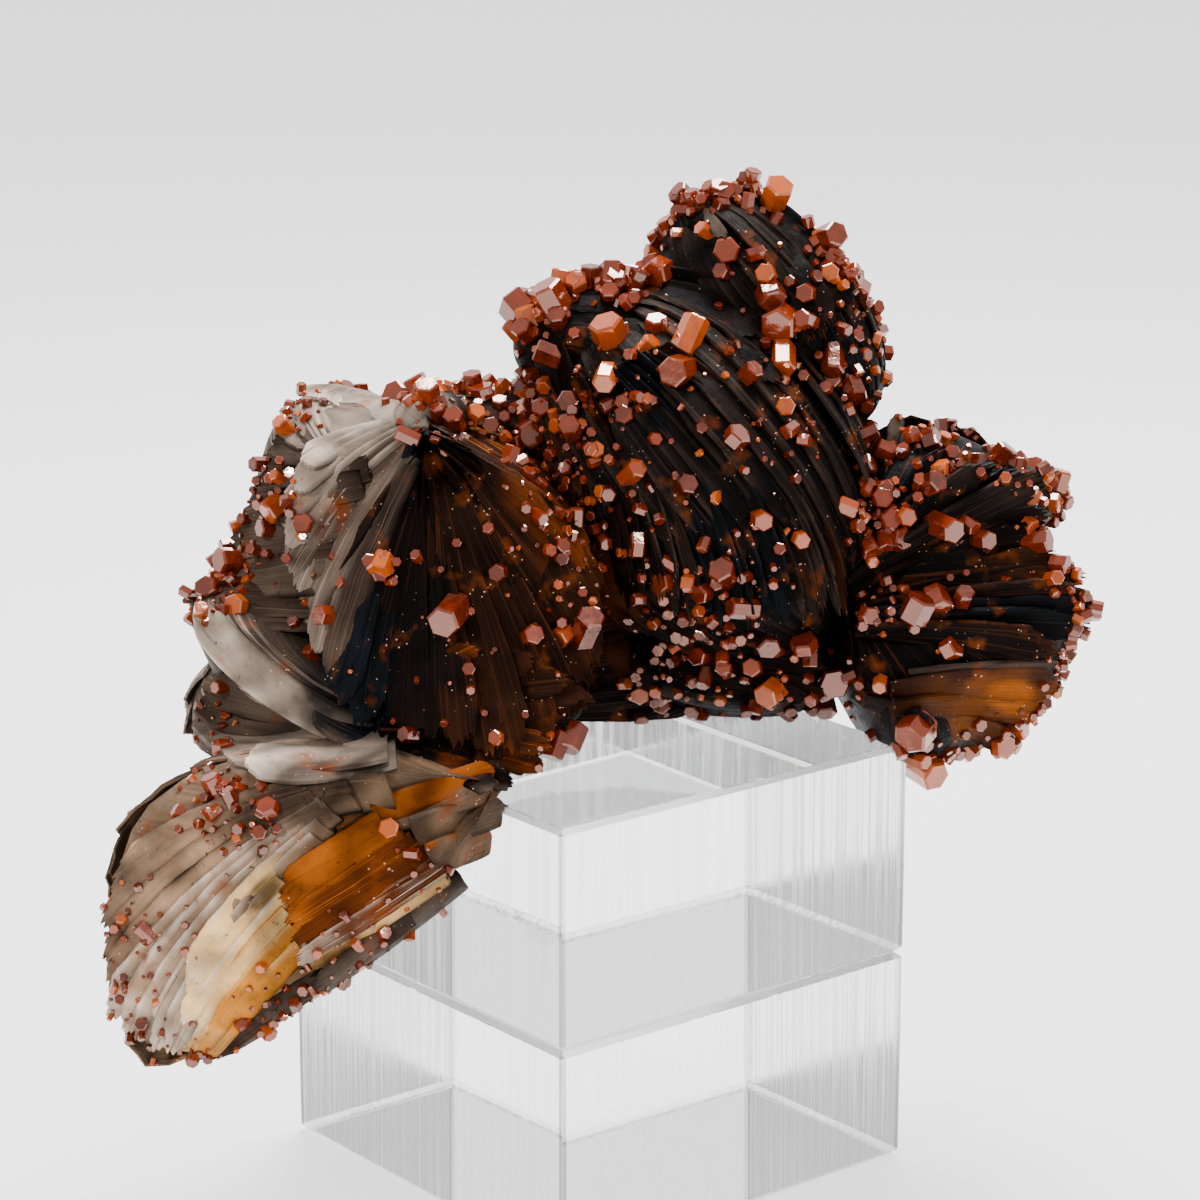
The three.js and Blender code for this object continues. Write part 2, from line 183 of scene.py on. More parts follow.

# Blades that are seen on the display side, laid one by one: root u and v, tip u and v, half width, how far
# the blade bows to its left, how far its tip stands up, how far its left edge does (or its right edge,
# below zero), and the colours of the blade and of its rims.
BLADES = {
    "left rim petals": [
        (-15.6, 16.6, -25.6, 17.8, 1.8, 0.2, 0.5, 0.3, PALE, GREY),
        (-17, 16, -28, 16, 2.2, 0.3, 0.3, 0.4, ASH, GREY),
        (-19, 14.5, -30.4, 13.8, 2.3, 0.3, 0.4, 0.4, GREY, UMBER),
        (-21, 12, -31.6, 10, 2.3, 0.2, 0.5, 0.4, UMBER, GREY),
        (-22, 8.5, -33.2, 6.5, 2.2, -0.2, 0.6, 0.5, GREY, UMBER),
        (-23, 5, -35.2, 3.2, 2.2, -0.3, 0.8, 0.5, UMBER, GREY),
        (-23.5, 1.5, -36.4, 1, 2.0, -0.3, 1.0, 0.5, GREY, UMBER),
        (-23.5, -2, -34, -1.6, 2.0, -0.3, 1.0, 0.5, UMBER, GREY)],
    "left cups": [
        (-18.4, 15.6, -27.2, 12.4, 2.0, -0.3, 0.9, -0.7, ASH, PALE),
        (-17.8, 15.4, -28.8, 7.4, 2.3, -0.9, 1.3, -0.8, ASH, PALE),
        (-17.4, 14.8, -28.4, 2.2, 2.4, -1.2, 1.5, -0.8, GREY, PALE),
        (-17.2, 13.6, -26.8, -2.6, 2.4, -1.1, 1.8, -0.8, GREY, ASH),
        (-17, 12, -24.4, -7.8, 2.3, -0.8, 2.1, -0.6, UMBER, GREY)],
    "left skirt": [
        (-20, -11.4, -36.4, -7.6, 2.6, 0.5, 0.8, 0.5, GREY, UMBER),
        (-20, -12.6, -37.2, -11.4, 2.5, 0.6, 1.0, 0.5, ASH, GREY),
        (-18.5, -14, -32.4, -14.6, 2.5, 0.7, 1.4, 0.5, ASH, WHITE)],
    "left crescent": [
        (-21.2, -12.6, -36.9, -0.8, 2.7, 1.4, 1.9, 0.9, ASH, WHITE),
        (-19.4, -13, -26, -9.8, 1.9, 0.6, 2.4, 0.4, SLATE_SHEEN, GREY)],
    "left fan": [
        (-16.6, 15, -24.6, -8.8, 2.2, -0.4, 1.9, 0.4, SLATE_SHEEN, DARK),
        (-16.5, 15, -21.8, -12.4, 2.4, -0.2, 1.9, 0.4, DARK, SLATE_SHEEN),
        (-16.4, 15, -17.6, -13.6, 2.6, 0, 1.9, 0.5, DARK, BROWN),
        (-16.3, 15, -12.6, -14.6, 2.6, 0.3, 1.8, 0.5, DARK, COFFEE),
        (-16.2, 15, -7.4, -15, 2.6, 0.5, 1.6, 0.5, BROWN, COFFEE),
        (-16.1, 15, -2.8, -11.4, 2.6, 0.8, 1.4, 0.5, BROWN, COFFEE),
        (-16, 15, 0.2, -6.2, 2.6, 1.1, 1.2, 0.5, BROWN, COFFEE),
        (-15.9, 15, 0.3, -0.6, 2.4, 1.4, 1.0, 0.5, BROWN, COFFEE),
        (-15.8, 15, -0.9, 4.4, 2.2, 1.4, 0.9, 0.5, BROWN, RUST),
        (-15.4, 15.2, -3.6, 9, 2.0, 1.0, 0.8, 0.5, BROWN, AMBER),
        (-14.6, 15.6, -7.6, 12.6, 1.6, 0.5, 0.7, 0.4, UMBER, GOLD)],
    "lower fan": [
        (-20.2, -10.8, -11, -4.4, 1.6, 0.5, 1.8, 0.5, COFFEE, RUST),
        (-20.2, -11, -5.4, -5.4, 1.8, 0.7, 1.7, 0.5, BROWN, COFFEE),
        (-20.2, -11.3, -0.6, -8.4, 1.9, 0.8, 1.5, 0.5, BROWN, COFFEE),
        (-20.1, -11.6, -1.4, -12, 1.9, 0.6, 1.2, 0.5, DARK, COFFEE),
        (-20, -12, -4.8, -15.4, 1.8, 0.4, 1.0, 0.5, BROWN, RUST),
        (-19.6, -12.6, -9.2, -17.4, 1.5, 0.2, 0.6, 0.4, DARK, BROWN)],
    "lower lobe": [
        (-19, -17.4, -45, -27, 3.2, -2.4, 0.2, -0.6, SHELL, GREY),
        (-25.6, -18.3, -45.3, -33, 2.2, -2.2, 0.4, -1.1, SHELL, UMBER),
        (-25, -19, -44.9, -38.4, 2.2, -1.8, 0.6, -1.1, SHELL, WHITE),
        (-24.2, -19.2, -42.2, -40.8, 2.2, -1.8, 0.8, -1.1, SHELL, WHITE),
        (-25.5, -21.6, -39.6, -41.8, 2.0, -1.4, 0.9, -1.0, SHELL, WHITE)],
    "lower lobe cream": [
        (-28.4, -23.4, -37.6, -34.6, 1.7, -0.6, 0.8, -0.7, CREAM, WHITE),
        (-28.6, -25.6, -38, -39, 1.7, -0.6, 0.8, -0.7, CREAM, WHITE),
        (-28, -28.6, -38.4, -41, 1.8, -0.4, 0.7, -0.7, CREAM, GOLD),
        (-27, -31.6, -36.2, -41.8, 1.4, -0.2, 0.5, -0.4, GOLD, CREAM)],
    "lower lobe crust": [
        (-12.6, -25.4, -27, -36, 1.3, 0.2, 0.3, 0.2, GREY, UMBER),
        (-22, -31.8, -36.4, -42.2, 1.4, 0.2, 0.4, 0.2, UMBER, GREY)],
    "lower lobe cleaved": [
        (-19.9, -19.9, -29.1, -25.6, 1.2, 0, 1.1, -0.2, AMBER, RUST),
        (-18.6, -21.2, -29.6, -27.6, 1.3, 0, 1.1, -0.2, AMBER, TOFFEE),
        (-16.9, -21.9, -29, -29.6, 1.3, 0, 1.1, -0.2, RUST, AMBER),
        (-15.4, -23.2, -28.7, -31.6, 1.3, 0, 1.0, -0.2, RUST, COFFEE),
        (-14.1, -24.4, -28.3, -33.2, 1.1, 0, 0.9, -0.2, RUST, WHITE),
        (-13.9, -25.4, -26.8, -34, 0.7, 0, 0.7, -0.2, CREAM, RUST)],
    "lower lobe end": [
        (-20.6, -19.6, -9.4, -15.3, 1.5, 0, 0.5, 0.2, AMBER, RUST),
        (-19, -20.2, -8.9, -16.8, 1.5, 0, 0.5, 0, SHELL, AMBER),
        (-16.8, -21.4, -8.4, -18.8, 2.0, 0, 0.4, 0, SHELL, GREY),
        (-15.2, -23.6, -9.8, -21.4, 1.8, 0, 0.4, 0, SHELL, AMBER)],
    "middle": [
        (-5.4, 22.6, -3.4, 7.4, 1.5, 0.2, 0.6, 0.8, DARK, UMBER),
        (-4, 23, 0, 3.5, 1.4, 0.3, 0.9, 1.0, DARK, BROWN),
        (-3, 21, 2.4, 0, 1.4, 0.8, 0.7, 1.1, BROWN, DARK),
        (-2.4, 20, 5.2, -1.6, 1.4, 1.2, 1.2, 1.2, DARK, BROWN),
        (-1.4, 20, 8, -2.4, 1.4, 1.6, 0.7, 1.1, DARK, UMBER),
        (-0.4, 20, 11, -3, 1.5, 2.0, 1.3, 1.2, DARK, SLATE_SHEEN),
        (0.6, 20.6, 14, -3.4, 1.5, 2.4, 0.6, 1.1, BROWN, COFFEE),
        (2, 21.4, 17, -3.6, 1.5, 2.8, 1.2, 1.1, DARK, SLATE_SHEEN),
        (3.6, 22.2, 20, -3.4, 1.5, 3.2, 0.7, 1.0, DARK, UMBER),
        (5.6, 23, 22.6, -3, 1.6, 3.5, 1.1, 0.9, BROWN, COFFEE)],
    "crest": [
        (2, 27.5, 15.5, 24, 2.4, 0.8, 0.9, 0.5, DARK, BROWN),
        (4, 29.5, 20, 23, 2.2, 1.2, 0.9, 0.5, DARK, BROWN),
        (2, 24.6, 17, 19.6, 2.0, 1.0, 1.0, 0.6, DARK, BROWN)],
    "upper right": [
        (12.6, 37.4, 23.4, 26.5, 1.7, 1.3, 0.8, 0.5, DARK, SLATE_SHEEN),
        (9.6, 36.4, 21.5, 24.5, 2.2, 1.2, 1.0, 0.6, DARK, BROWN),
        (8.6, 34.4, 19.5, 23, 2.0, 0.8, 1.0, 0.6, DARK, BROWN)],
    "upper right flank": [
        (7.8, 36.4, 11.4, 32.6, 1.1, 0.2, 1.3, 0.3, GREY, UMBER),
        (17, 29, 23.8, 17.5, 2.4, 1.0, 0.9, 0.5, DARK, SLATE_SHEEN)],
    "right": [
        (26, 10.5, 27.2, 17.2, 1.0, 0.2, 0.4, 0.4, GREY, UMBER),
        (23, 3.5, 32.6, 13.8, 2.1, 0.5, 0.4, 0.8, DARK, SLATE_SHEEN),
        (23, 2.6, 36, 12.4, 1.8, 0.6, 1.2, 1.2, DARK, UMBER),
        (23, 2.1, 39, 12, 1.4, 0.7, -0.4, 0.7, DARK, SLATE_SHEEN),
        (23, 1.8, 42.2, 12, 1.9, 0.7, 2.2, 1.5, DARK, UMBER),
        (23, 0.8, 41.6, 8.2, 1.8, 0.6, -0.6, 0.8, DARK, BROWN),
        (23.2, 0, 42.6, 4, 1.8, 0.5, 1.2, 1.2, BROWN, COFFEE),
        (23.3, -0.4, 43, 2.4, 1.4, 0.5, 0, 0.8, DARK, RUST),
        (23.4, -0.8, 45.4, 0.6, 1.9, 0.4, 2.0, 1.4, DARK, COFFEE),
        (23.4, -1.8, 45.4, -2.6, 2.1, 0.3, 2.2, 1.4, DARK, SLATE_SHEEN),
        (23.6, -3.2, 42, -5, 1.8, 0.2, 0.6, 0.8, DARK, COFFEE)],
    "right face": [
        (26.4, -8.4, 42.2, -7.9, 2.4, 0.5, 1.7, 0.3, COFFEE, UMBER),
        (28, -6.7, 42.8, -6, 0.5, 0.3, 1.7, 0.3, UMBER, GREY),
        (26.6, -9.8, 41, -10.2, 2.0, 0.3, 1.4, 0.3, COFFEE, BROWN),
        (24, -9.2, 38, -13.2, 1.8, 0.2, 0.9, 0.4, BROWN, UMBER),
        (23, -8.4, 30.5, -12.8, 2.0, 0.2, 1.0, 0.5, DARK, SLATE_SHEEN)],
    "foot": [
        (3.4, -4.4, 21, -5.6, 1.9, 0.5, 0.8, 0.5, DARK, BROWN),
        (3.2, -7.2, 20, -9, 1.6, 0.3, 0.8, 0.5, BROWN, DARK)],
}
# For each table: the share of the half width at root and at tip, how many blades are laid from each row to
# the next, how thick the blades and their rims are, how high the roots lie, how torn the rims are, and how
# far the blades stray from even steps.
BLADE_FORMS = {
    "left rim petals": dict(root=0.6, tip=0.9, fill=2, thick=0.5, rim=0.16, lift=-0.4, torn=0.8, stray=1),
    "left cups": dict(root=0.4, tip=0.8, fill=2, thick=0.9, rim=0.3, lift=-0.2, torn=0.5, stray=0.4),
    "left skirt": dict(root=0.5, tip=0.8, fill=2, thick=0.8, rim=0.3, lift=-0.2, torn=0.4, stray=0.6),
    "left crescent": dict(root=0.6, tip=0.75, fill=1, thick=0.9, rim=0.3, lift=0.2, torn=0.3, stray=0),
    "left fan": dict(root=0.08, tip=1.0, fill=2, thick=0.5, rim=0.14, lift=0, torn=0.7, stray=1.5),
    "lower fan": dict(root=0.12, tip=1.0, fill=2, thick=0.5, rim=0.14, lift=0, torn=0.7, stray=1.5),
    "lower lobe": dict(root=0.6, tip=0.9, fill=2, thick=1.2, rim=0.6, lift=-0.2, torn=0.6, stray=0.5),
    "lower lobe cream": dict(root=0.7, tip=0.85, fill=2, thick=0.9, rim=0.4, lift=0.2, torn=0.7, stray=0.5),
    "lower lobe crust": dict(root=0.7, tip=0.8, fill=2, thick=0.9, rim=0.4, lift=0, torn=1, stray=1),
    "lower lobe cleaved": dict(root=0.8, tip=0.8, fill=3, thick=0.5, rim=0.2, lift=0.9, torn=1, stray=0.5),
    "lower lobe end": dict(root=0.8, tip=0.9, fill=1, thick=0.8, rim=0.4, lift=0.7, torn=0.3, stray=0),
    "middle": dict(root=0.5, tip=0.7, fill=3, thick=0.4, rim=0.12, lift=-0.3, torn=1.2, stray=2),
    "crest": dict(root=0.5, tip=0.7, fill=2, thick=0.5, rim=0.14, lift=-0.4, torn=1, stray=1),
    "upper right": dict(root=0.5, tip=0.7, fill=2, thick=0.5, rim=0.14, lift=-0.4, torn=1, stray=1),
    "upper right flank": dict(root=0.5, tip=0.7, fill=1, thick=0.5, rim=0.14, lift=-0.2, torn=1, stray=0),
    "right": dict(root=0.2, tip=0.9, fill=2, thick=0.7, rim=0.16, lift=-0.2, torn=1.5, stray=1.8),
    "right face": dict(root=0.35, tip=0.9, fill=1, thick=0.6, rim=0.2, lift=0.3, torn=1, stray=0),
    "foot": dict(root=0.5, tip=0.7, fill=3, thick=0.5, rim=0.14, lift=-0.4, torn=1, stray=1),
}
# The most that each number in a row strays, and the rows and columns of a blade's grid.
STRAY = (0.3, 0.3, 0.6, 0.6, 0.2, 0.3, 0.35, 0.2)
LAID_GRID = (26, 19)
GROWN_GRID = (20, 9)
GROWN_THICKNESS = 0.5
GROWN_RIM = 0.16
# How high a blade's ridges are, how many it has, and how far and how often they sway.
RIDGE = 0.06
RIDGES = 9
RIDGE_SWAY = 0.2
RIDGE_TURNS = 7
# The wide and the fine steps in torn rims: how many there are to a half width or a length of a blade, and
# how deep they are. A tip is rounded as well.
TIP_STEPS = ((3.5, 0.05), (9, 0.05))
SIDE_STEPS = ((6, 0.07), (19, 0.06))
TIP_ROUND = 0.10
# How far clouds take the place of fine lines, on stained barite and on clean.
CLOUDY = (0.4, 0.85)

# Stains and clean areas, as seen from the display side: u, v, half width, half height, turn in degrees,
# colour and strength.
STAINS = [
    (-26, 12, 9, 5, 20, GREY, 0.7),
    (-29, -11.5, 7, 3, -10, ASH, 0.6),
    (-20, 17, 7, 1.8, 0, PALE, 0.9),
    (-22, -9, 4, 3, -30, SLATE_SHEEN, 0.9),
    (-18, 0, 4, 9, 10, DARK, 0.8),
    (-2.5, 4, 3.2, 9, 25, RUST, 0.6),
    (-22, -24.5, 9, 5.5, 40, GOLD, 0.6),
    (-31.5, -33, 3.5, 8, -35, CREAM, 0.7),
    (-24, -36, 12, 1.8, 45, SLATE_SHEEN, 0.85),
    (-8.5, -16.5, 3.5, 4, 0, UMBER, 0.9),
    (40, -1, 5, 2.5, 0, RUST, 0.6),
]
# Stains on the laid blades only, in the same way.
LAID_STAINS = [
    (-9.5, -17.5, 2.5, 2.2, 0, GREY, 0.7),
    # This umber patch is partly the blades' own colour and partly a painted shadow of the skirt and dome
    # above it.
    (-25, -16.4, 6.5, 2.2, 8, UMBER, 0.85),
    (-28.4, -24.4, 1.8, 1.0, 40, BROWN, 0.8),
    (-31, -34.5, 3, 1.6, 45, GOLD, 0.6),
    (-23.5, -8, 2, 3.4, -35, SLATE_SHEEN, 0.7),
    (-28.5, 5, 4, 7, 0, UMBER, 0.45),
    (35.5, -9, 6.5, 3.0, 4, TOFFEE, 0.9),
    (37.4, -8.4, 3.6, 1.7, 8, AMBER, 0.6),
]


# How the colours vary: a blade's own tone, the drift of its shade, and the waver of the rim colour.
TONE = (0.62, 0.66)
SHADE_DRIFT = (0.30, 5)
RIM_WAVER = (0.7, 0.5, 3)
# A stain's tone, how its outline wavers and follows the blades, and where it starts and ends.
STAIN_TONE = (0.7, 0.5)
STAIN_WAVER = (0.25, 4.5, 0.3)
STAIN_FADE = (1.25, 0.5)
# How strongly painted shade darkens the colour in the hollows between blades.
HOLLOW_SHADE = 0.72


# The golden ratio, how much wider each stream's steps are than the one's before it, and how far it is
# shifted from it.
GOLDEN = 0.6180339887
STREAM_STEP = 0.37
STREAM_SHIFT = 0.173


def spread(n, k):
    """Even-spread numbers from 0 to 1 for the whole numbers n in the stream k, by the golden ratio."""
    x = (np.asarray(n) + 1) * GOLDEN * (1 + STREAM_STEP * k) + STREAM_SHIFT * k
    return x - np.floor(x)


WAVES = 6


def drift(points, size, seed):
    """A smooth wavering from -1 to 1: a mean of sine waves in spread directions, about size apart."""
    total = np.zeros(points.shape[:-1])
    for i in range(WAVES):
        tilt = math.acos(2 * float(spread(seed + i, 1)) - 1)
        turn = 2 * math.pi * float(spread(seed + i, 2))
        way = np.array([math.sin(tilt) * math.cos(turn), math.sin(tilt) * math.sin(turn), math.cos(tilt)])
        length = size * (0.7 + 0.8 * float(spread(seed + i, 3)))
        total += np.sin(points @ way * (2 * math.pi / length) + 6.28 * float(spread(seed + i, 4)))
    return total / 2.6


def unit(vectors):
    return vectors / np.maximum(np.linalg.norm(vectors, axis=-1, keepdims=True), 1e-9)


def display_to_world(points):
    """Places in the display frame, in millimetres, as places in the part's frame, in metres."""
    return (DISPLAY_CENTRE + points @ DISPLAY_AXES) / 1000


SHARP_FROM = math.radians(28)


def mesh_object(name, points, quads, triangles, values):
    """A mesh from arrays of points, quads and triangles, with a colour or number at each point."""
    mesh = bpy.data.meshes.new(name)
    mesh.vertices.add(len(points))
    mesh.vertices.foreach_set("co", points.astype(np.float32).ravel())
    corners = np.concatenate([quads.ravel(), triangles.ravel()])
    sizes = np.concatenate([np.full(len(quads), 4), np.full(len(triangles), 3)])
    starts = np.concatenate([[0], np.cumsum(sizes)[:-1]])
    mesh.loops.add(len(corners))
    mesh.loops.foreach_set("vertex_index", corners.astype(np.int32))
    mesh.polygons.add(len(sizes))
    mesh.polygons.foreach_set("loop_start", starts.astype(np.int32))
    mesh.update(calc_edges=True)
    for key, numbers in values.items():
        if numbers.ndim == 2:
            layer = mesh.attributes.new(key, "FLOAT_COLOR", "POINT")
            opaque = np.concatenate([numbers, np.ones((len(numbers), 1))], axis=1)
            layer.data.foreach_set("color", opaque.astype(np.float32).ravel())
        else:
            layer = mesh.attributes.new(key, "FLOAT", "POINT")
            layer.data.foreach_set("value", numbers.astype(np.float32))
    mesh.set_sharp_from_angle(angle=SHARP_FROM)
    piece = bpy.data.objects.new(name, mesh)
    bpy.context.scene.collection.objects.link(piece)
    return piece


def closed_rings(rows, columns):
    """Quads between the rings of a closed grid, and triangles to the poles, its first and last vertex."""
    row, column = np.meshgrid(np.arange(rows - 1), np.arange(columns), indexing="ij")
    here = 1 + row * columns + column
    beside = 1 + row * columns + (column + 1) % columns
    quads = np.stack([here, here + columns, beside + columns, beside], axis=-1).reshape(-1, 4)
    last = 1 + rows * columns
    ring = np.arange(columns)
    top = np.stack([np.zeros(columns, int), 1 + ring, 1 + (ring + 1) % columns], axis=-1)
    low = last - columns + np.stack([np.full(columns, columns), (ring + 1) % columns, ring], axis=-1)
    return quads, np.concatenate([top, low])


def rosette_surface(shape, slope, angle):
    """Places on the smooth surface of a rosette. The distance out from its axis is the reach at that angle
    times a share that goes from 0 at one end of the axis through 1 at the rims to 0 at the other end, and
    the distance along the axis goes from the tip over the belly. Past its span a rosette is a thin core."""
    first, last = shape["span"]
    stops = np.array(shape["reach"], float)
    stops = np.concatenate([stops - [360, 0], stops, stops + [360, 0]])
    reach = np.interp(angle, stops[:, 0], stops[:, 1])
    if last - first < 360:
        past = np.minimum(np.abs(angle - last), np.abs(first + 360 - angle)) / FADE_DEGREES
        back = shape.get("back", BACK_REACH)
        reach = np.where(angle > last, reach + (back - reach) * np.clip(past, 0, 1), reach)
    belly, depth, tip = shape["belly"], shape["depth"], shape["tip"]
    cosine = np.maximum(np.cos(slope), 0)
    out = reach * ((1 - belly) * cosine ** 0.85 + belly * (1 + np.cos(2 * slope)) / 2)
    short = np.minimum(1, reach / depth)
    along = ((1 - belly) * depth + tip) * np.sin(slope) + belly * depth * short * np.sin(2 * slope)
    axis = unit(np.array(shape["axis"], float))
    facing = np.array([1.0, 0, 0]) if abs(axis[2]) > 0.7 else np.array([0, 0, 1.0])
    zero = unit(facing - axis * (facing @ axis))
    quarter = np.cross(axis, zero)
    turn = np.radians(angle)
    return (np.array(shape["centre"]) + (out * np.cos(turn))[..., None] * zero
            + (out * np.sin(turn))[..., None] * quarter + along[..., None] * axis)


def grid_normals(points):
    """The direction at right angles to each grid of points, from its own rows and columns."""
    return unit(np.cross(np.gradient(points, axis=-3), np.gradient(points, axis=-2)))


def blade_shells(middle, along, across, thick, rim):
    """Thin closed blades round their middle surfaces, which are grids of points: thickest at the root and
    drawn down to a narrow rim, with low ridges that run from root to tip on both faces."""
    number, rows, columns = middle.shape[:3]
    normals = grid_normals(middle)
    edge = np.maximum(along ** 4, np.abs(across) ** 4)
    half = (thick + (rim - thick) * edge) / 2
    wave = np.mod(across * RIDGES + RIDGE_SWAY * np.sin(RIDGE_TURNS * along), 1)
    ridge = RIDGE * (1 - edge) * np.abs(wave - 0.25)
    front = middle + normals * (half + ridge)[..., None]
    back = middle - normals * (half + ridge)[..., None]
    points = np.stack([front, back], axis=1)
    row, column = np.meshgrid(np.arange(rows - 1), np.arange(columns - 1), indexing="ij")
    here = row * columns + column
    sheet = np.stack([here, here + columns, here + columns + 1, here + 1], axis=-1).reshape(-1, 4)
    border = np.concatenate([
        np.arange(columns - 1), columns * np.arange(1, rows) - 1,
        rows * columns - 1 - np.arange(columns - 1), columns * np.arange(rows - 1, 0, -1)])
    beyond = np.roll(border, -1)
    under = rows * columns
    wall = np.stack([border, beyond, beyond + under, border + under], axis=-1)
    one = np.concatenate([sheet, sheet[:, ::-1] + under, wall])
    quads = one[None] + (np.arange(number) * 2 * under)[:, None, None]
    return points.reshape(-1, 3), quads.reshape(-1, 4)


def ragged(number, rows, columns, torn, seed):
    """How far along (0 to 1) and across (-1 to 1) each blade the points of its grid are, with its tip and
    its sides broken into steps of two sizes, as deep as torn."""
    blade = np.arange(number)[:, None, None] + seed
    along = np.linspace(0, 1, rows)[None, :, None]
    across = np.linspace(-1, 1, columns)[None, None, :]
    (wide_tip, deep_tip), (fine_tip, shallow_tip) = TIP_STEPS
    tip_steps = deep_tip * torn * spread(np.floor(across * wide_tip + 5 * blade), 2)
    tip_steps = tip_steps + shallow_tip * torn * spread(np.floor(across * fine_tip + 3 * blade), 3)
    tip_steps = tip_steps + TIP_ROUND * across ** 2
    side = np.sign(across)
    (wide_side, deep_side), (fine_side, shallow_side) = SIDE_STEPS
    side_steps = deep_side * torn * spread(np.floor(along * wide_side + 4 * side + 7 * blade), 4)
    fine = spread(np.floor(along * fine_side + 3 * side + 2 * blade), 5)
    side_steps = side_steps + shallow_side * torn * fine
    return along * (1 - tip_steps * along ** 2), across * (1 - side_steps * np.abs(across) ** 2)


def stained(points, colour, rim_colour, rim, painted_shade, own_tone, seed, stains):
    """The colour at each point: the blade's own tone of its colour, turned towards the rim colour at the
    rims and towards each stain inside its wavering outline, and darkened by painted shade in the hollows."""
    tint = colour * (TONE[0] + TONE[1] * own_tone)[..., None]
    tint = tint * (1 + SHADE_DRIFT[0] * drift(points, SHADE_DRIFT[1], seed))[..., None]
    wavering = RIM_WAVER[0] + RIM_WAVER[1] * drift(points, RIM_WAVER[2], seed + 9)
    share = np.clip(rim * wavering, 0, 1)[..., None]
    tint = tint + (rim_colour - tint) * share
    for i, (u, v, wide, high, turn, stain, strength) in enumerate(stains):
        angle = math.radians(turn)
        du, dv = points[..., 0] - u, points[..., 1] - v
        a = (du * math.cos(angle) + dv * math.sin(angle)) / wide
        b = (dv * math.cos(angle) - du * math.sin(angle)) / high
        waver = STAIN_WAVER[0] * drift(points, STAIN_WAVER[1], 30 + i)
        distance = np.hypot(a, b) + waver + STAIN_WAVER[2] * (own_tone - 0.5)
        share = strength * np.clip((STAIN_FADE[0] - distance) / STAIN_FADE[1], 0, 1)
        own = np.array(stain) * (STAIN_TONE[0] + STAIN_TONE[1] * own_tone)[..., None]
        tint = tint + (own - tint) * share[..., None]
    return np.clip(tint * (1 - HOLLOW_SHADE * painted_shade)[..., None], 0, 1)


def rosette_body(shape, seed):
    """The core of a rosette: its smooth surface drawn in a little, so that the blades stand out of it."""
    slope = np.linspace(math.pi / 2, -math.pi / 2, BODY_ROWS + 2)[1:-1, None] * np.ones((1, BODY_COLUMNS))
    first = shape["span"][0]
    angle = first + 360 * np.arange(BODY_COLUMNS)[None, :] / BODY_COLUMNS * np.ones((BODY_ROWS, 1))
    rings = rosette_surface(shape, slope, angle)
    poles = rosette_surface(shape, np.array([math.pi / 2, -math.pi / 2]), np.array([first, first]))
    points = np.concatenate([poles[:1], rings.reshape(-1, 3), poles[1:]])
    centre = np.array(shape["centre"])
    points = centre + (points - centre) * BODY_SHARE
    quads, triangles = closed_rings(BODY_ROWS, BODY_COLUMNS)
    flat = np.zeros(len(points))
    # The whole core is darkened evenly by painted shade at half strength, as it lies under the blades.
    facts = {
        "tint": stained(points, np.array(shape["colour"]), np.array(shape["colour"]), flat, flat + 0.5,
                        flat + 0.5, seed, STAINS),
        "vein": np.tile(np.array(shape["rim"]), (len(points), 1)),
        "along": np.concatenate([[0], slope.ravel(), [0]]),
        "across": np.concatenate([[0], angle.ravel() / 12, [0]]),
        "cloudy": flat + CLOUDY[0],
    }
    return points, quads, triangles, facts


# Grown blades: how many times its share of the span a blade takes up on each side, on a fan and on a sheaf;
# how many degrees it turns; the slopes where it begins and ends; and how deep its sunk edge and root lie.
FAN_OVERLAP = 2.1
SHEAF_OVERLAP = 1.25
BLADE_TURN = 7
FAN_BEGIN = -math.radians(78)
FAN_END = (-20, 24)
SHEAF_END = (74, 40)
SUNK = 0.5
FAN_ROOT = 0.2
GROWN_WARP = (0.12, 4)
# The share of a fan's span that its blades are spread over, and how wide and how proud a blade is: the
# least, and what its own number adds.
FAN_SPREAD = (0.04, 0.92)
BLADE_WIDTH = (0.8, 0.5)
PROUD = (0.6, 0.6)
# Blades whose faces look less than this far towards the display side stand up more or less than others.
HIDDEN_BELOW = 0.3
HIDDEN_PROUD = (-0.3, 1.5)


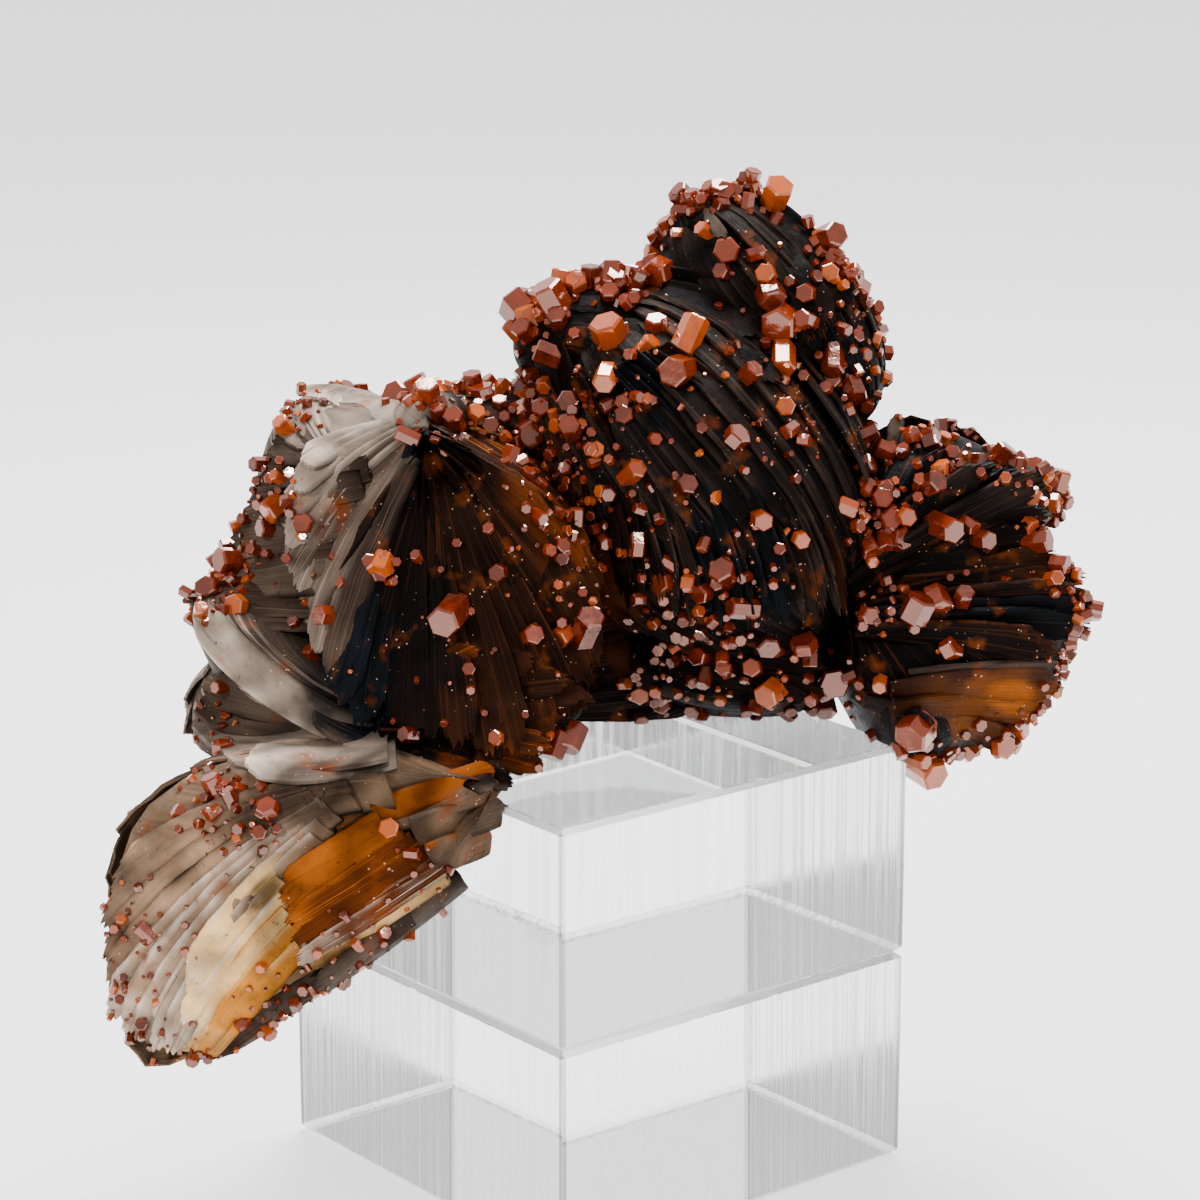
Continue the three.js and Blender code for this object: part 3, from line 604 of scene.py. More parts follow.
def grown_blades(shape, seed):
    """Blades on a rosette: from the back end of its axis to the rims on a fan, and from end to end on a
    sheaf. Each lies along the surface with one long edge sunk in it and the other standing up, and the
    blades on the sides that face away stand up more unevenly."""
    number = shape["blades"]
    first, last = shape["span"]
    fan = shape["belly"] > 0
    blade = np.arange(number)[:, None, None]
    along, across = ragged(number, *GROWN_GRID, 1, seed)
    share = spread(blade, 1 + seed % 7)
    middle_angle = first + (last - first) * (share if not fan else FAN_SPREAD[0] + FAN_SPREAD[1] * share)
    overlap = FAN_OVERLAP if fan else SHEAF_OVERLAP
    half_angle = (last - first) / number * overlap * (BLADE_WIDTH[0] + BLADE_WIDTH[1] * spread(blade, 6))
    angle = middle_angle + half_angle * across + BLADE_TURN * (spread(blade, 7) - 0.5) * along
    if fan:
        begin = FAN_BEGIN
        end = np.radians(FAN_END[1] * spread(blade, 8) + FAN_END[0])
    else:
        begin = np.radians(SHEAF_END[0] - SHEAF_END[1] * spread(blade, 8) ** 2)
        end = np.radians(-SHEAF_END[0] + SHEAF_END[1] * spread(blade, 9) ** 2)
    slope = begin + (end - begin) * along
    angle = np.broadcast_to(angle, slope.shape)
    base = rosette_surface(shape, slope, angle)
    outward = grid_normals(base)
    centre = np.array(shape["centre"])
    outward = outward * np.sign(np.sum(outward * (base - centre), axis=-1, keepdims=True))
    bulge = np.sin(np.pi * np.clip(along, 0.04, 0.96)) ** 0.5 if not fan else along ** 0.7
    hidden = np.clip(HIDDEN_BELOW - outward[..., 2], 0, 1)
    own = spread(blade, 5)
    proud = PROUD[0] + PROUD[1] * own + hidden * (HIDDEN_PROUD[0] + HIDDEN_PROUD[1] * own)
    height = -SUNK + shape["stand"] * (0.5 + 0.5 * across) * bulge * proud
    middle = base + outward * (height + GROWN_WARP[0] * drift(base, GROWN_WARP[1], seed))[..., None]
    middle = middle - unit(base - centre) * (FAN_ROOT if fan else SUNK)
    return middle, along, across


def filled(table, fill, stray, seed):
    """The rows of a table and, from each row to the next, more rows that stray a little from the line
    between them, with the colours of the nearer row."""
    number = (len(table) - 1) * fill + 1
    place = np.linspace(0, len(table) - 1, number)
    columns = np.array([row[:8] for row in table], float).T
    between = np.abs(place - np.round(place)) > 0.01
    rows = [np.interp(place, np.arange(len(table)), column)
            + between * stray * STRAY[k] * (2 * spread(np.arange(number) + seed, k) - 1)
            for k, column in enumerate(columns)]
    nearest = np.round(place + 0.9 * between * (spread(np.arange(number) + seed, 8) - 0.5)).astype(int)
    colours = np.array([table[k][8] for k in nearest])
    rim_colours = np.array([table[k][9] for k in nearest])
    return np.stack(rows, axis=1), colours, rim_colours


# Laid blades: how much the fit holds back each term of its surface, how many grid steps lie between the
# lines of sight that it uses, how much the tips narrow, and how far and how often the blades warp.
STEADY = np.diag([0, 0, 0.5, 1.0, 2.0])
SIGHT_STEP = 4
TIP_TAPER = 0.4
LAID_WARP = (0.16, 4)


def laid_blades(numbers, form, surface, seed):
    """The blades of one table. Each follows a smooth surface, fitted by least squares to where lines of
    sight meet the barite under it, and rises from it towards its tip and one long edge."""
    number = len(numbers)
    rows, columns = LAID_GRID
    numbers = numbers[:, :, None, None]
    root, tip = numbers[:, 0:2], numbers[:, 2:4]
    half, bow, rise, raised = (numbers[:, i] for i in range(4, 8))
    side = np.where(raised < 0, -1, 1)
    along, across = ragged(number, rows, columns, form["torn"], seed)
    way = tip - root
    length = np.hypot(way[:, 0], way[:, 1])
    left = np.stack([-way[:, 1] / length, way[:, 0] / length], axis=1)
    profile = (form["root"] + (form["tip"] - form["root"]) * along) * (1 - TIP_TAPER * along ** 8)
    aside = half * across * side * profile + bow * 4 * along * (1 - along)
    flat = root + way * along[:, None] + left * aside[:, None]
    middle = np.empty((number, rows, columns, 3))
    checks = [(r, c) for r in range(0, rows, SIGHT_STEP) for c in range(0, columns, SIGHT_STEP)]
    for i in range(number):
        u, v = flat[i]
        terms = np.stack([np.ones_like(u), along[i], across[i], along[i] ** 2, across[i] ** 2], axis=-1)
        depths = np.array([surface_depth(surface, u[r, c], v[r, c]) for r, c in checks])
        known = np.array([terms[r, c] for r, c in checks])
        weights = np.linalg.solve(known.T @ known + STEADY, known.T @ depths)
        w = terms @ weights
        w = w + form["lift"] + (rise[i] - form["lift"]) * along[i]
        w = w + abs(raised[i]) * (0.5 + 0.5 * across[i])
        nearer = 1 - w / EYE_DISTANCE
        middle[i] = np.stack([u * nearer, v * nearer, w], axis=-1)
    middle[..., 2] += LAID_WARP[0] * drift(middle, LAID_WARP[1], seed)
    return middle, along, across


class Wire:
    """A shader socket that can be used in sums: each sum adds the Math node it stands for."""

    def __init__(self, finish, socket):
        self.finish = finish
        self.socket = socket

    def maths(self, operation, first, second):
        return self.finish.add("ShaderNodeMath", {"operation": operation}, {0: first, 1: second})["Value"]

    def __add__(self, other):
        return self.maths("ADD", self, other)

    def __radd__(self, other):
        return self.maths("ADD", other, self)

    def __sub__(self, other):
        return self.maths("SUBTRACT", self, other)

    def __rsub__(self, other):
        return self.maths("SUBTRACT", other, self)

    def __mul__(self, other):
        return self.maths("MULTIPLY", self, other)

    def __rmul__(self, other):
        return self.maths("MULTIPLY", other, self)


class Finish:
    """A material with one main shader, to which nodes are added one call at a time."""

    def __init__(self, name, constants):
        self.material = bpy.data.materials.new(name)
        self.material.use_nodes = True
        self.tree = self.material.node_tree
        self.shader = self.tree.nodes["Principled BSDF"]
        for key, value in constants.items():
            self.shader.inputs[key].default_value = value

    def add(self, kind, settings, sockets):
        """Adds a node of a type, makes its settings, and fills its sockets with values or wires."""
        node = self.tree.nodes.new(kind)
        for key, value in settings.items():
            setattr(node, key, value)
        for key, value in sockets.items():
            if isinstance(value, Wire):
                self.tree.links.new(value.socket, node.inputs[key])
            else:
                node.inputs[key].default_value = value
        return {output.name: Wire(self, output) for output in node.outputs}

    def attribute(self, name):
        return self.add("ShaderNodeAttribute", {"attribute_name": name}, {})

    def noise(self, place, scale, detail):
        """Soft noise from about 0.3 to 0.7, with scale bumps to a unit of place."""
        sockets = {"Vector": place, "Scale": scale, "Detail": detail}
        return self.add("ShaderNodeTexNoise", {}, sockets)["Fac"]

    def mix(self, share, first, second):
        """A mix of two colours, from the first at share 0 to the second at share 1."""
        node = self.tree.nodes.new("ShaderNodeMix")
        node.data_type = "RGBA"
        for index, value in ((0, share), (6, first), (7, second)):
            if isinstance(value, Wire):
                self.tree.links.new(value.socket, node.inputs[index])
            else:
                node.inputs[index].default_value = value
        return Wire(self, node.outputs[2])

    def feed(self, key, wire):
        self.tree.links.new(wire.socket, self.shader.inputs[key])


# Lines and bands to a half width and to a length of a blade, and grains, clouds and painted glints to a
# metre.
LINES = (16.0, 0.8)
BANDS = (4.0, 1.3)
BANDS_LAYER = 7.0
GRAINS = 1500.0
CLOUDS = 300.0
PAINTED_GLINTS = 1600.0
# Where the second colour, the rusty dust and the dark specks start, and how sharp their borders are.
VEINED = (1.06, 4.0)
DUSTED = (0.59, 5.0)
SPECKED = (0.66, 9.0)
# How dark the darkest streaks are and how light the lightest, against the blade's own colour.
STREAKS = (0.45, 1.5)


def barite_finish():
    """Satin blades: lines, clouds and bands of a second colour run along them, dust speckles them,
    and tiny painted glints stand in for highlights.
    """
    finish = Finish("barite", {"IOR": 1.64, "Specular IOR Level": 0.013})
    tint = finish.attribute("tint")["Color"]
    vein = finish.attribute("vein")["Color"]
    across = finish.attribute("across")["Fac"]
    along = finish.attribute("along")["Fac"]
    cloudy = finish.attribute("cloudy")["Fac"]
    lined = {"X": across * LINES[0], "Y": along * LINES[1]}
    lines = finish.noise(finish.add("ShaderNodeCombineXYZ", {}, lined)["Vector"], 1.0, 4.0)
    banded = {"X": across * BANDS[0], "Y": along * BANDS[1], "Z": BANDS_LAYER}
    bands = finish.noise(finish.add("ShaderNodeCombineXYZ", {}, banded)["Vector"], 1.0, 3.0)
    place = finish.add("ShaderNodeTexCoord", {}, {})["Object"]
    grain = finish.noise(place, GRAINS, 4.0)
    cloud = finish.noise(place, CLOUDS, 6.0)
    veined = finish.mix((bands + lines - VEINED[0]) * VEINED[1], tint, vein)
    darker = finish.add("ShaderNodeVectorMath", {"operation": "SCALE"}, {0: veined, "Scale": STREAKS[0]})
    lighter = finish.add("ShaderNodeVectorMath", {"operation": "SCALE"}, {0: veined, "Scale": STREAKS[1]})
    mottled = lines + (cloud - lines) * cloudy
    streaked = finish.mix(mottled * 2.4 - 0.7, darker["Vector"], lighter["Vector"])
    dusted = finish.mix((cloud - DUSTED[0]) * DUSTED[1], streaked, (*RUST, 1))
    specked = finish.mix((grain - SPECKED[0]) * SPECKED[1], dusted, (*BROWN, 1))
    # Painted glints: tiny light dots in the base colour that stand in for sparkling highlights.
    apart = finish.add("ShaderNodeTexVoronoi", {}, {"Vector": place, "Scale": PAINTED_GLINTS})["Distance"]
    painted_glint = (cloud * 0.6 - 0.22 - apart) * 12.0
    finish.feed("Base Color", finish.mix(painted_glint, specked, (*PAINTED_GLINT, 1)))
    finish.feed("Roughness", grain * 0.4 + 0.28)
    relief = {"Strength": 0.6, "Distance": 0.0003, "Height": mottled * 0.7 + grain * 0.45}
    finish.feed("Normal", finish.add("ShaderNodeBump", {}, relief)["Normal"])
    return finish.material


# Blades lighter than this are clean: their second colour is their own, a little darker.
CLEAN_FROM = 0.06
CLEAN_VEIN = 0.7
# How much painted shade darkens a blade at its root and at its sunk edge, where it stands for the shade
# between blades, how much of the veins' colour is left there, and how far apart two blades' patterns are.
ROOT_PAINTED_SHADE = 0.8
EDGE_PAINTED_SHADE = 0.95
VEIN_PAINTED_SHADE = 0.5
PATTERN_STEP = 5
barite = barite_finish()
barite_pieces = []
barite_points = []
rims = []


def add_barite(name, points, quads, triangles, facts):
    """One barite piece in the display frame, which shows part of the specimen."""
    piece = mesh_object(name, display_to_world(points), quads, triangles, facts)
    piece.data.materials.append(barite)
    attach(piece, "root")
    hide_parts("vanadinite_on_barite")
    barite_pieces.append(piece)
    barite_points.append(points)


def add_blades(name, middle, along, across, thick, rim, colours, rim_colours, stains, seed):
    """One piece of thin blades, in the colours of each blade and its rims."""
    points, quads = blade_shells(middle, along, across, thick, rim)
    # Rims take the rim colour: partly the blades' own edge colour, and where it is light gold or orange,
    # partly a painted glow of light through the thin edges.
    edge = np.maximum(along ** 5, across ** 4 * (0.5 + 0.5 * across))
    # Painted shade: darker towards the root and towards the sunk edge, where the blades shade one another.
    painted_shade = ROOT_PAINTED_SHADE * (1 - along) ** 3 + EDGE_PAINTED_SHADE * np.clip(-across, 0, 1) ** 3
    tone = np.broadcast_to(spread(np.arange(len(middle)) + seed, 6)[:, None, None], edge.shape)
    tint = stained(middle, colours[:, None, None], rim_colours[:, None, None], edge, painted_shade, tone, seed,
                   stains)
    clean = colours.mean(axis=-1, keepdims=True) > CLEAN_FROM
    veins = np.where(clean, CLEAN_VEIN * colours, rim_colours)
    vein = np.broadcast_to(veins[:, None, None], tint.shape) * (1 - VEIN_PAINTED_SHADE * painted_shade)[..., None]
    own = PATTERN_STEP * np.arange(len(middle))[:, None, None]
    facts = {
        "tint": np.stack([tint, tint], axis=1).reshape(-1, 3),
        "vein": np.stack([vein, vein], axis=1).reshape(-1, 3),
        "along": np.stack([along + own, along + own], axis=1).ravel(),
        "across": np.stack([across + own, across + own], axis=1).ravel(),
        "cloudy": np.repeat(np.where(clean[:, 0], CLOUDY[1], CLOUDY[0]), 2 * along[0].size),
    }
    add_barite(name, points, quads, np.empty((0, 3), int), facts)
    rims.append((middle, grid_normals(middle)))


def search_tree():
    """All the barite so far in one search tree, in the display frame."""
    faces = []
    start = 0
    for piece, own in zip(barite_pieces, barite_points):
        corners = np.empty(len(piece.data.loops), int)
        piece.data.loops.foreach_get("vertex_index", corners)
        firsts = np.empty(len(piece.data.polygons), int)
        piece.data.polygons.foreach_get("loop_start", firsts)
        faces += [part.tolist() for part in np.split(corners + start, firsts[1:])]
        start += len(own)
    return BVHTree.FromPolygons(np.concatenate(barite_points).tolist(), faces)


for order, (name, shape) in enumerate(ROSETTES.items()):
    add_barite("core_" + name, *rosette_body(shape, 20 * order))

# How far the camera is from the display frame's middle, and how far in a place past the rim is drawn.
EYE_DISTANCE = 338
DRAWN_IN = 0.4
DRAWING_STEPS = 30
eye = Vector((0, 0, EYE_DISTANCE))


def sight(surface, u, v):
    """Where the line of sight through u, v meets the barite, and which way the surface faces there. A
    place past the rim is drawn in, towards the middle of the specimen, until it meets the barite."""
    target = Vector((u, v, 0))
    for share in np.linspace(0, DRAWN_IN, DRAWING_STEPS):
        aim = target * (1 - float(share))
        point, normal, _, _ = surface.ray_cast(eye, (aim - eye).normalized())
        if point is not None:
            if share > 0:
                normal = (normal + (target - aim).normalized()).normalized()
            return (*point, *normal)
    return None


def surface_depth(surface, u, v):
    found = sight(surface, u, v)
    return found[2] if found else 0.0


cores = search_tree()
for order, (name, shape) in enumerate(ROSETTES.items()):
    middle, along, across = grown_blades(shape, 20 * order)
    colours = np.tile(np.array(shape["colour"]), (len(middle), 1))
    rim_colours = np.tile(np.array(shape["rim"]), (len(middle), 1))
    add_blades("blades_" + name, middle, along, across, GROWN_THICKNESS, GROWN_RIM, colours, rim_colours,
               STAINS, 20 * order)
for order, (name, table) in enumerate(BLADES.items()):
    seed = 300 + 20 * order
    form = BLADE_FORMS[name]
    numbers, colours, rim_colours = filled(table, form["fill"], form["stray"], seed)
    middle, along, across = laid_blades(numbers, form, cores, seed)
    add_blades("laid_" + name.replace(" ", "_"), middle, along, across, form["thick"], form["rim"], colours,
               rim_colours, LAID_STAINS, seed)


# Vanadinite
# Six-sided crystals with flat ends, deep orange-red and glassy, that grow on the barite. The bigger ones
# are placed one by one, as u, v and width on the plane through the display frame's middle; the small ones
# crowd round them in patches; and a crust of them follows the blades' rims on the sides that face away.
CRYSTALS = {
    "middle": [
        (-7, 26.4, 3.7), (-4, 26.6, 3.2), (0.9, 24, 3.2), (-1.4, -2.6, 2.6), (1.2, 32, 2.8),
        (7.3, 20.9, 2.8), (5.4, 29.8, 2.7), (8, 23.7, 2.5), (11.5, 2.3, 2.5), (3.6, 4.9, 2.5),
        (3.2, 31.3, 2.3), (-2.3, 30.7, 2.3), (-4.4, 22.1, 2.3), (12.3, 14.6, 2.3), (-6.4, 24.2, 2.1),
        (5.1, 24.7, 2.1), (0.7, 20.3, 2.1), (-2.5, 18, 2.1), (-2.4, 15.2, 2.1), (-5.4, 28.4, 1.9),
        (2.9, 11.4, 1.9), (7.8, 10.3, 1.9), (13.2, -0.8, 1.9), (6.2, 1.7, 1.9), (2.4, 26.8, 1.8),
        (4.3, 22.7, 1.8), (2.3, 16.8, 1.8), (13.5, 20.3, 1.8), (-5.2, 17.3, 1.8), (14.7, 7.3, 1.8),
        (8, 1.5, 1.8), (9.7, 0.7, 1.8), (-7.2, 28.2, 1.6), (-7.3, 17.1, 1.6), (18.2, 5.4, 1.6),
        (0.9, 9.7, 1.4), (3.6, 29.3, 1.2), (-0.9, 13.6, 1.2), (5, 14.5, 1.2), (10.4, 9.1, 1.2),
        (3.6, 0, 1.2), (2.5, 18.3, 1.1), (3.3, 18.3, 1.1), (4.2, 18.1, 1.1), (9.1, 15.4, 1.1),
        (5.4, 7.3, 1.1), (9.5, 5, 1.1)],
    "upper right": [
        (16.6, 25, 3.4), (16, 36.7, 2.8), (15.5, 27.5, 2.7), (20.8, 33, 2.5), (11.6, 31.5, 2.5),
        (16.6, 22, 2.3), (22.8, 19, 2.3), (21.1, 21.8, 2.1), (11.2, 36.7, 1.9), (21.2, 31, 1.9),
        (15.2, 29.3, 1.9), (13, 39.4, 1.8), (11, 37.8, 1.8), (6.5, 35.8, 1.8), (5.6, 33.2, 1.8),
        (20.7, 29.5, 1.8), (23.7, 27.9, 1.8), (18.7, 27.7, 1.8), (18.8, 25.2, 1.8), (16.7, 17.3, 1.8),
        (8.2, 38.6, 1.6), (4.9, 35.5, 1.6), (13.6, 37.7, 1.6), (23.2, 29.7, 1.6), (24.9, 23.5, 1.6),
        (11.2, 29.6, 1.6), (21.1, 19.9, 1.6), (10.8, 39.7, 1.4), (7.5, 37.7, 1.4), (14.2, 31.4, 1.4),
        (23.1, 23.8, 1.4), (17.3, 15.4, 1.4), (24, 17.7, 1.4), (9.6, 33.2, 1.4), (9.2, 37.7, 1.2),
        (6.5, 37.1, 1.2), (19.1, 34.6, 1.2), (14.8, 38.5, 1.1), (15, 23, 1.1), (18.5, 20.3, 1.1)],
    "foot": [
        (20.8, -7.2, 3), (18.4, -4.2, 2.5), (15.7, -8.1, 2.5), (15.2, -4, 2.3), (22, -10.2, 2.1),
        (5.6, -9.4, 1.9), (13.9, -6.2, 1.8), (3.6, -8.5, 1.8), (9.2, -5, 1.8), (8.5, -9.8, 1.6),
        (11.3, -6.4, 1.6), (5, -2, 1.2), (7.6, -1.6, 1.2), (10.2, -2, 1.2), (12.7, -3.6, 1.2),
        (5.4, -4.5, 1.2), (10.9, -9.1, 1.2), (17.2, -9.8, 1.2), (3.3, -6.9, 1.1), (6.4, -1.1, 1.1),
        (8.9, -1.1, 1.1), (11.6, -2.5, 1.1), (7.7, -3.6, 1.1), (13.2, -9.8, 1.1)],
    "right": [
        (28.9, -11.7, 3.4), (29.2, -15, 3), (28.7, -1.1, 2.8), (30.9, 6.8, 2.5), (30.5, 0.1, 2.5),
        (36.5, -13.1, 2.5), (29.9, 10.4, 2.3), (27.1, 5.6, 2.3), (41.7, 5.5, 2.3), (31.8, -4.4, 2.3),
        (38.8, -12, 2.3), (29.9, 14.4, 2.1), (36.2, 12.6, 2.1), (26.2, 7.3, 2.1), (43.1, 10.7, 2.1),
        (30.9, 11.7, 1.9), (34.4, 5.5, 1.9), (42.7, 3.3, 1.9), (45.2, -1.1, 1.9), (33.3, -13.5, 1.9),
        (24.2, 12.2, 1.9), (26, 13.5, 1.9), (28.3, 14.7, 1.8), (39.4, 12, 1.8), (41, 8.8, 1.8),
        (32.9, -0.1, 1.8), (24.3, -1.6, 1.8), (31.2, 15.6, 1.6), (38.9, 6.8, 1.6), (24.1, 14.9, 1.6),
        (25.5, 9.8, 1.6), (33.4, 6.8, 1.4), (44.9, -4.3, 1.4), (25.5, -7.5, 1.4), (40.1, -9.6, 1.4),
        (23.7, 10.1, 1.4), (32.2, 12, 1.2), (23.7, 7.7, 1.2), (24.9, -12.2, 1.2), (43.1, -6.2, 1.2),
        (41.9, -6.6, 1.2), (27.6, 13.5, 1.2), (24.5, 3.6, 1.2), (25.9, 1.8, 1.2), (23.9, -7.5, 1.1)],
    "left": [
        (-18.9, 19, 2.6), (-15.6, 18.1, 2.3), (-19.8, 3.2, 2.2), (-13.5, -1.4, 3), (-6.7, 14.9, 2.7),
        (-32.8, 3.4, 2.5), (-29.2, 8.3, 2.3), (-35.7, 0.7, 2.3), (-4.7, -15.6, 2.3), (-10.6, 18.5, 2.3),
        (-17.2, 20, 2.1), (-33, -0.7, 2.1), (-2.8, -14.4, 2.1), (-26.9, 6.8, 1.9), (-24.5, -1.5, 1.9),
        (-3.4, -3.2, 1.9), (-7.7, 18.8, 1.9), (-30.1, 6.4, 1.8), (-6.4, -3.4, 1.8), (-12.2, 20, 1.8),
        (-28.6, 15.3, 1.6), (-9.2, 2.4, 1.6), (-9.1, 17.7, 1.6), (-26.2, -5.1, 1.4), (-9.4, -12.6, 1.4),
        (-17.3, -12.3, 1.4), (-3.5, 4.7, 1.4), (-2.3, 7.3, 1.4), (-28.1, 17.4, 1.2), (-29.1, 11, 1.2),
        (-27.7, -2.2, 1.2), (-11.9, -6.4, 1.2), (-14.3, 13.4, 1.2), (-34.3, -7.9, 1.2), (-5, 11.8, 1.2),
        (-32, 7.3, 1.1), (-16.6, 3.8, 1.1), (-10.1, 6.4, 1.1), (-35.9, 2.4, 0.9), (-34.3, -11.6, 0.9),
        (-36.3, -9.7, 0.7)],
    "lower lobe": [
        (-30.1, -19, 1.9), (-34.9, -17.2, 1.8), (-19.1, -20.7, 1.8), (-33.5, -18.1, 1.4),
        (-30.9, -21.1, 1.4), (-41.1, -30.3, 1.4), (-30.2, -39.2, 1.4), (-41.6, -38.7, 1.2),
        (-27.6, -36.8, 1.2), (-37.3, -42, 1.2), (-19.7, -30.3, 1.2), (-43.4, -29, 1.1),
        (-29.4, -20.9, 0.9), (-43.6, -36.3, 0.9), (-28.8, -37.7, 0.8)],
}

# Patches of small crystals: u, v, radius, how many, and the smallest and largest width.
PATCHES = [
    (-5.4, 26.8, 3.4, 30, 0.7, 2.1), (1.8, 30.7, 4, 30, 0.7, 2.0), (9.1, 38, 3.6, 34, 0.6, 1.7),
    (14.5, 37, 3, 16, 0.6, 1.5), (21.3, 31.8, 3, 22, 0.6, 1.6), (24, 26.3, 3, 18, 0.5, 1.5),
    (23.8, 20, 3, 16, 0.6, 1.5), (5.4, 34, 2.5, 14, 0.6, 1.6), (14.5, 28.1, 5, 8, 0.4, 1.3),
    (17.2, 22.7, 4.5, 10, 0.4, 1.4), (3.6, 22.7, 7, 24, 0.4, 1.5), (9, 14.5, 7, 14, 0.3, 1.0),
    (16.3, 13.6, 4, 12, 0.3, 1.2), (-2.7, 15.4, 5, 30, 0.4, 1.5), (0.9, 7.3, 5, 22, 0.4, 1.3),
    (8.2, -0.9, 6, 38, 0.5, 1.3), (14.5, 3.6, 4, 16, 0.3, 1.2), (10.9, -7.3, 6, 38, 0.5, 1.5),
    (20, -8.2, 4, 22, 0.6, 1.5), (4.5, -8.2, 3, 14, 0.5, 1.4), (27.2, 12.7, 4.5, 24, 0.5, 1.6),
    (25.4, 7.3, 3.2, 20, 0.8, 2.2), (32.7, 14.5, 3, 16, 0.5, 1.5), (36.3, 12.2, 2.5, 12, 0.5, 1.5),
    (40.4, 10.4, 3, 18, 0.5, 1.6), (44, 11.3, 2, 12, 0.5, 1.5), (42.2, 6.4, 2.5, 14, 0.5, 1.5),
    (43.1, 1.8, 2.5, 12, 0.5, 1.5), (45.4, -1.8, 2.5, 16, 0.5, 1.5), (42.6, -6.4, 2.5, 14, 0.5, 1.4),
    (39.9, -12.3, 3, 16, 0.5, 1.5), (34.9, -14.1, 3, 16, 0.5, 1.5), (29.5, -14.5, 3, 16, 0.6, 1.6),
    (29.9, -0.9, 4, 6, 0.4, 1.3), (36.3, 3.6, 4, 5, 0.4, 1.1), (25.4, -0.9, 2.5, 14, 0.5, 1.4),
    (-9, 18.1, 5, 46, 0.5, 1.9), (-5, 14.5, 5, 40, 0.4, 1.6), (-3.6, 7.3, 4.5, 28, 0.4, 1.4),
    (-1.8, 0, 3.5, 18, 0.4, 1.3), (-15.4, 18.6, 4, 32, 0.6, 2.0), (-19.6, 3, 1.4, 7, 0.8, 1.6),
    (-27.2, 17.2, 2.5, 16, 0.4, 1.1), (-30, 10, 3, 24, 0.4, 1.4), (-33.1, 3.6, 3, 24, 0.4, 1.4),
    (-35.8, 0, 2.5, 20, 0.4, 1.4), (-34.9, -11.3, 2.5, 10, 0.4, 1.0), (-27.2, 3.6, 5, 10, 0.3, 1.0),
    (-10.9, 0, 8, 11, 0.3, 0.9), (-7.3, -9, 6, 9, 0.3, 1.0), (-18, -7, 6, 6, 0.3, 0.9),
    (-3.6, -14.5, 3, 14, 0.5, 1.5), (-34.5, -18.6, 4, 30, 0.4, 1.4), (-41.7, -30, 5, 26, 0.3, 1.0),
    (-32.7, -20.9, 4, 18, 0.3, 1.0), (-42.6, -37.2, 3.5, 16, 0.3, 1.0), (-29, -37.2, 4, 26, 0.3, 1.1),
    (-22.7, -31.8, 4, 22, 0.3, 1.0), (-38.1, -41.7, 3.5, 18, 0.3, 1.0), (-16.3, -25.4, 4, 14, 0.3, 1.1),
]
CRUST_PER_ROSETTE = 110
CRUST_WIDTH = (0.5, 2.0)
# In widths: a crystal's bevels, its shortest and longest length, and how high its middle is. It leans by
# up to LEAN degrees.
BEVEL = 0.07
LENGTH = (0.45, 1.5)
RISE = 0.12
LEAN = 50
GOLDEN_ANGLE = math.radians(137.5)
# How far out from its place in a patch a crystal may be, and which rims carry the crust: those that face
# the display side less than this, where a wavering over so many millimetres is above the last number.
PATCH_STRAY = (0.8, 0.4)
CRUST_FACING = 0.1
CRUST_WAVER = (9, -0.3)


surface = search_tree()


def patch_seats():
    """The seats of the small crystals in each patch, spread by the golden angle out from its middle."""
    seats = []
    for i, (u, v, radius, number, small, large) in enumerate(PATCHES):
        for j in range(number):
            stray = PATCH_STRAY[0] + PATCH_STRAY[1] * float(spread(j, 1 + i))
            out = radius * math.sqrt((j + 0.5) / number) * stray
            turn = GOLDEN_ANGLE * j + i
            found = sight(surface, u + out * math.cos(turn), v + out * math.sin(turn))
            if found:
                width = small + (large - small) * float(spread(j + 40 * i, 8)) ** 2
                seats.append((*found, width))
    return seats


def crust_seats():
    """Seats on the blades' rims on the sides that face away."""
    seats = []
    for order, (middle, normals) in enumerate(rims[:len(ROSETTES)]):
        places = middle[:, 3:-3, -2].reshape(-1, 3)
        ways = normals[:, 3:-3, -2].reshape(-1, 3)
        centre = places.mean(axis=0)
        ways = ways * np.sign(np.sum(ways * (places - centre), axis=1, keepdims=True))
        waver = drift(places, CRUST_WAVER[0], 60 + order)
        hidden = np.flatnonzero((ways[:, 2] < CRUST_FACING) & (waver > CRUST_WAVER[1]))
        chosen = hidden[(spread(np.arange(CRUST_PER_ROSETTE), 2 + order) * len(hidden)).astype(int)]
        for j, index in enumerate(chosen):
            width = CRUST_WIDTH[0] + (CRUST_WIDTH[1] - CRUST_WIDTH[0]) * float(spread(j, 9)) ** 2
            seats.append((*places[index], *ways[index], width))
    return seats


SIDES = 6
# The height of each ring of corners, in lengths, and whether the bevel draws it in.
RINGS = ((-0.5, 1), (-0.5, 0), (0.5, 0), (0.5, 1))


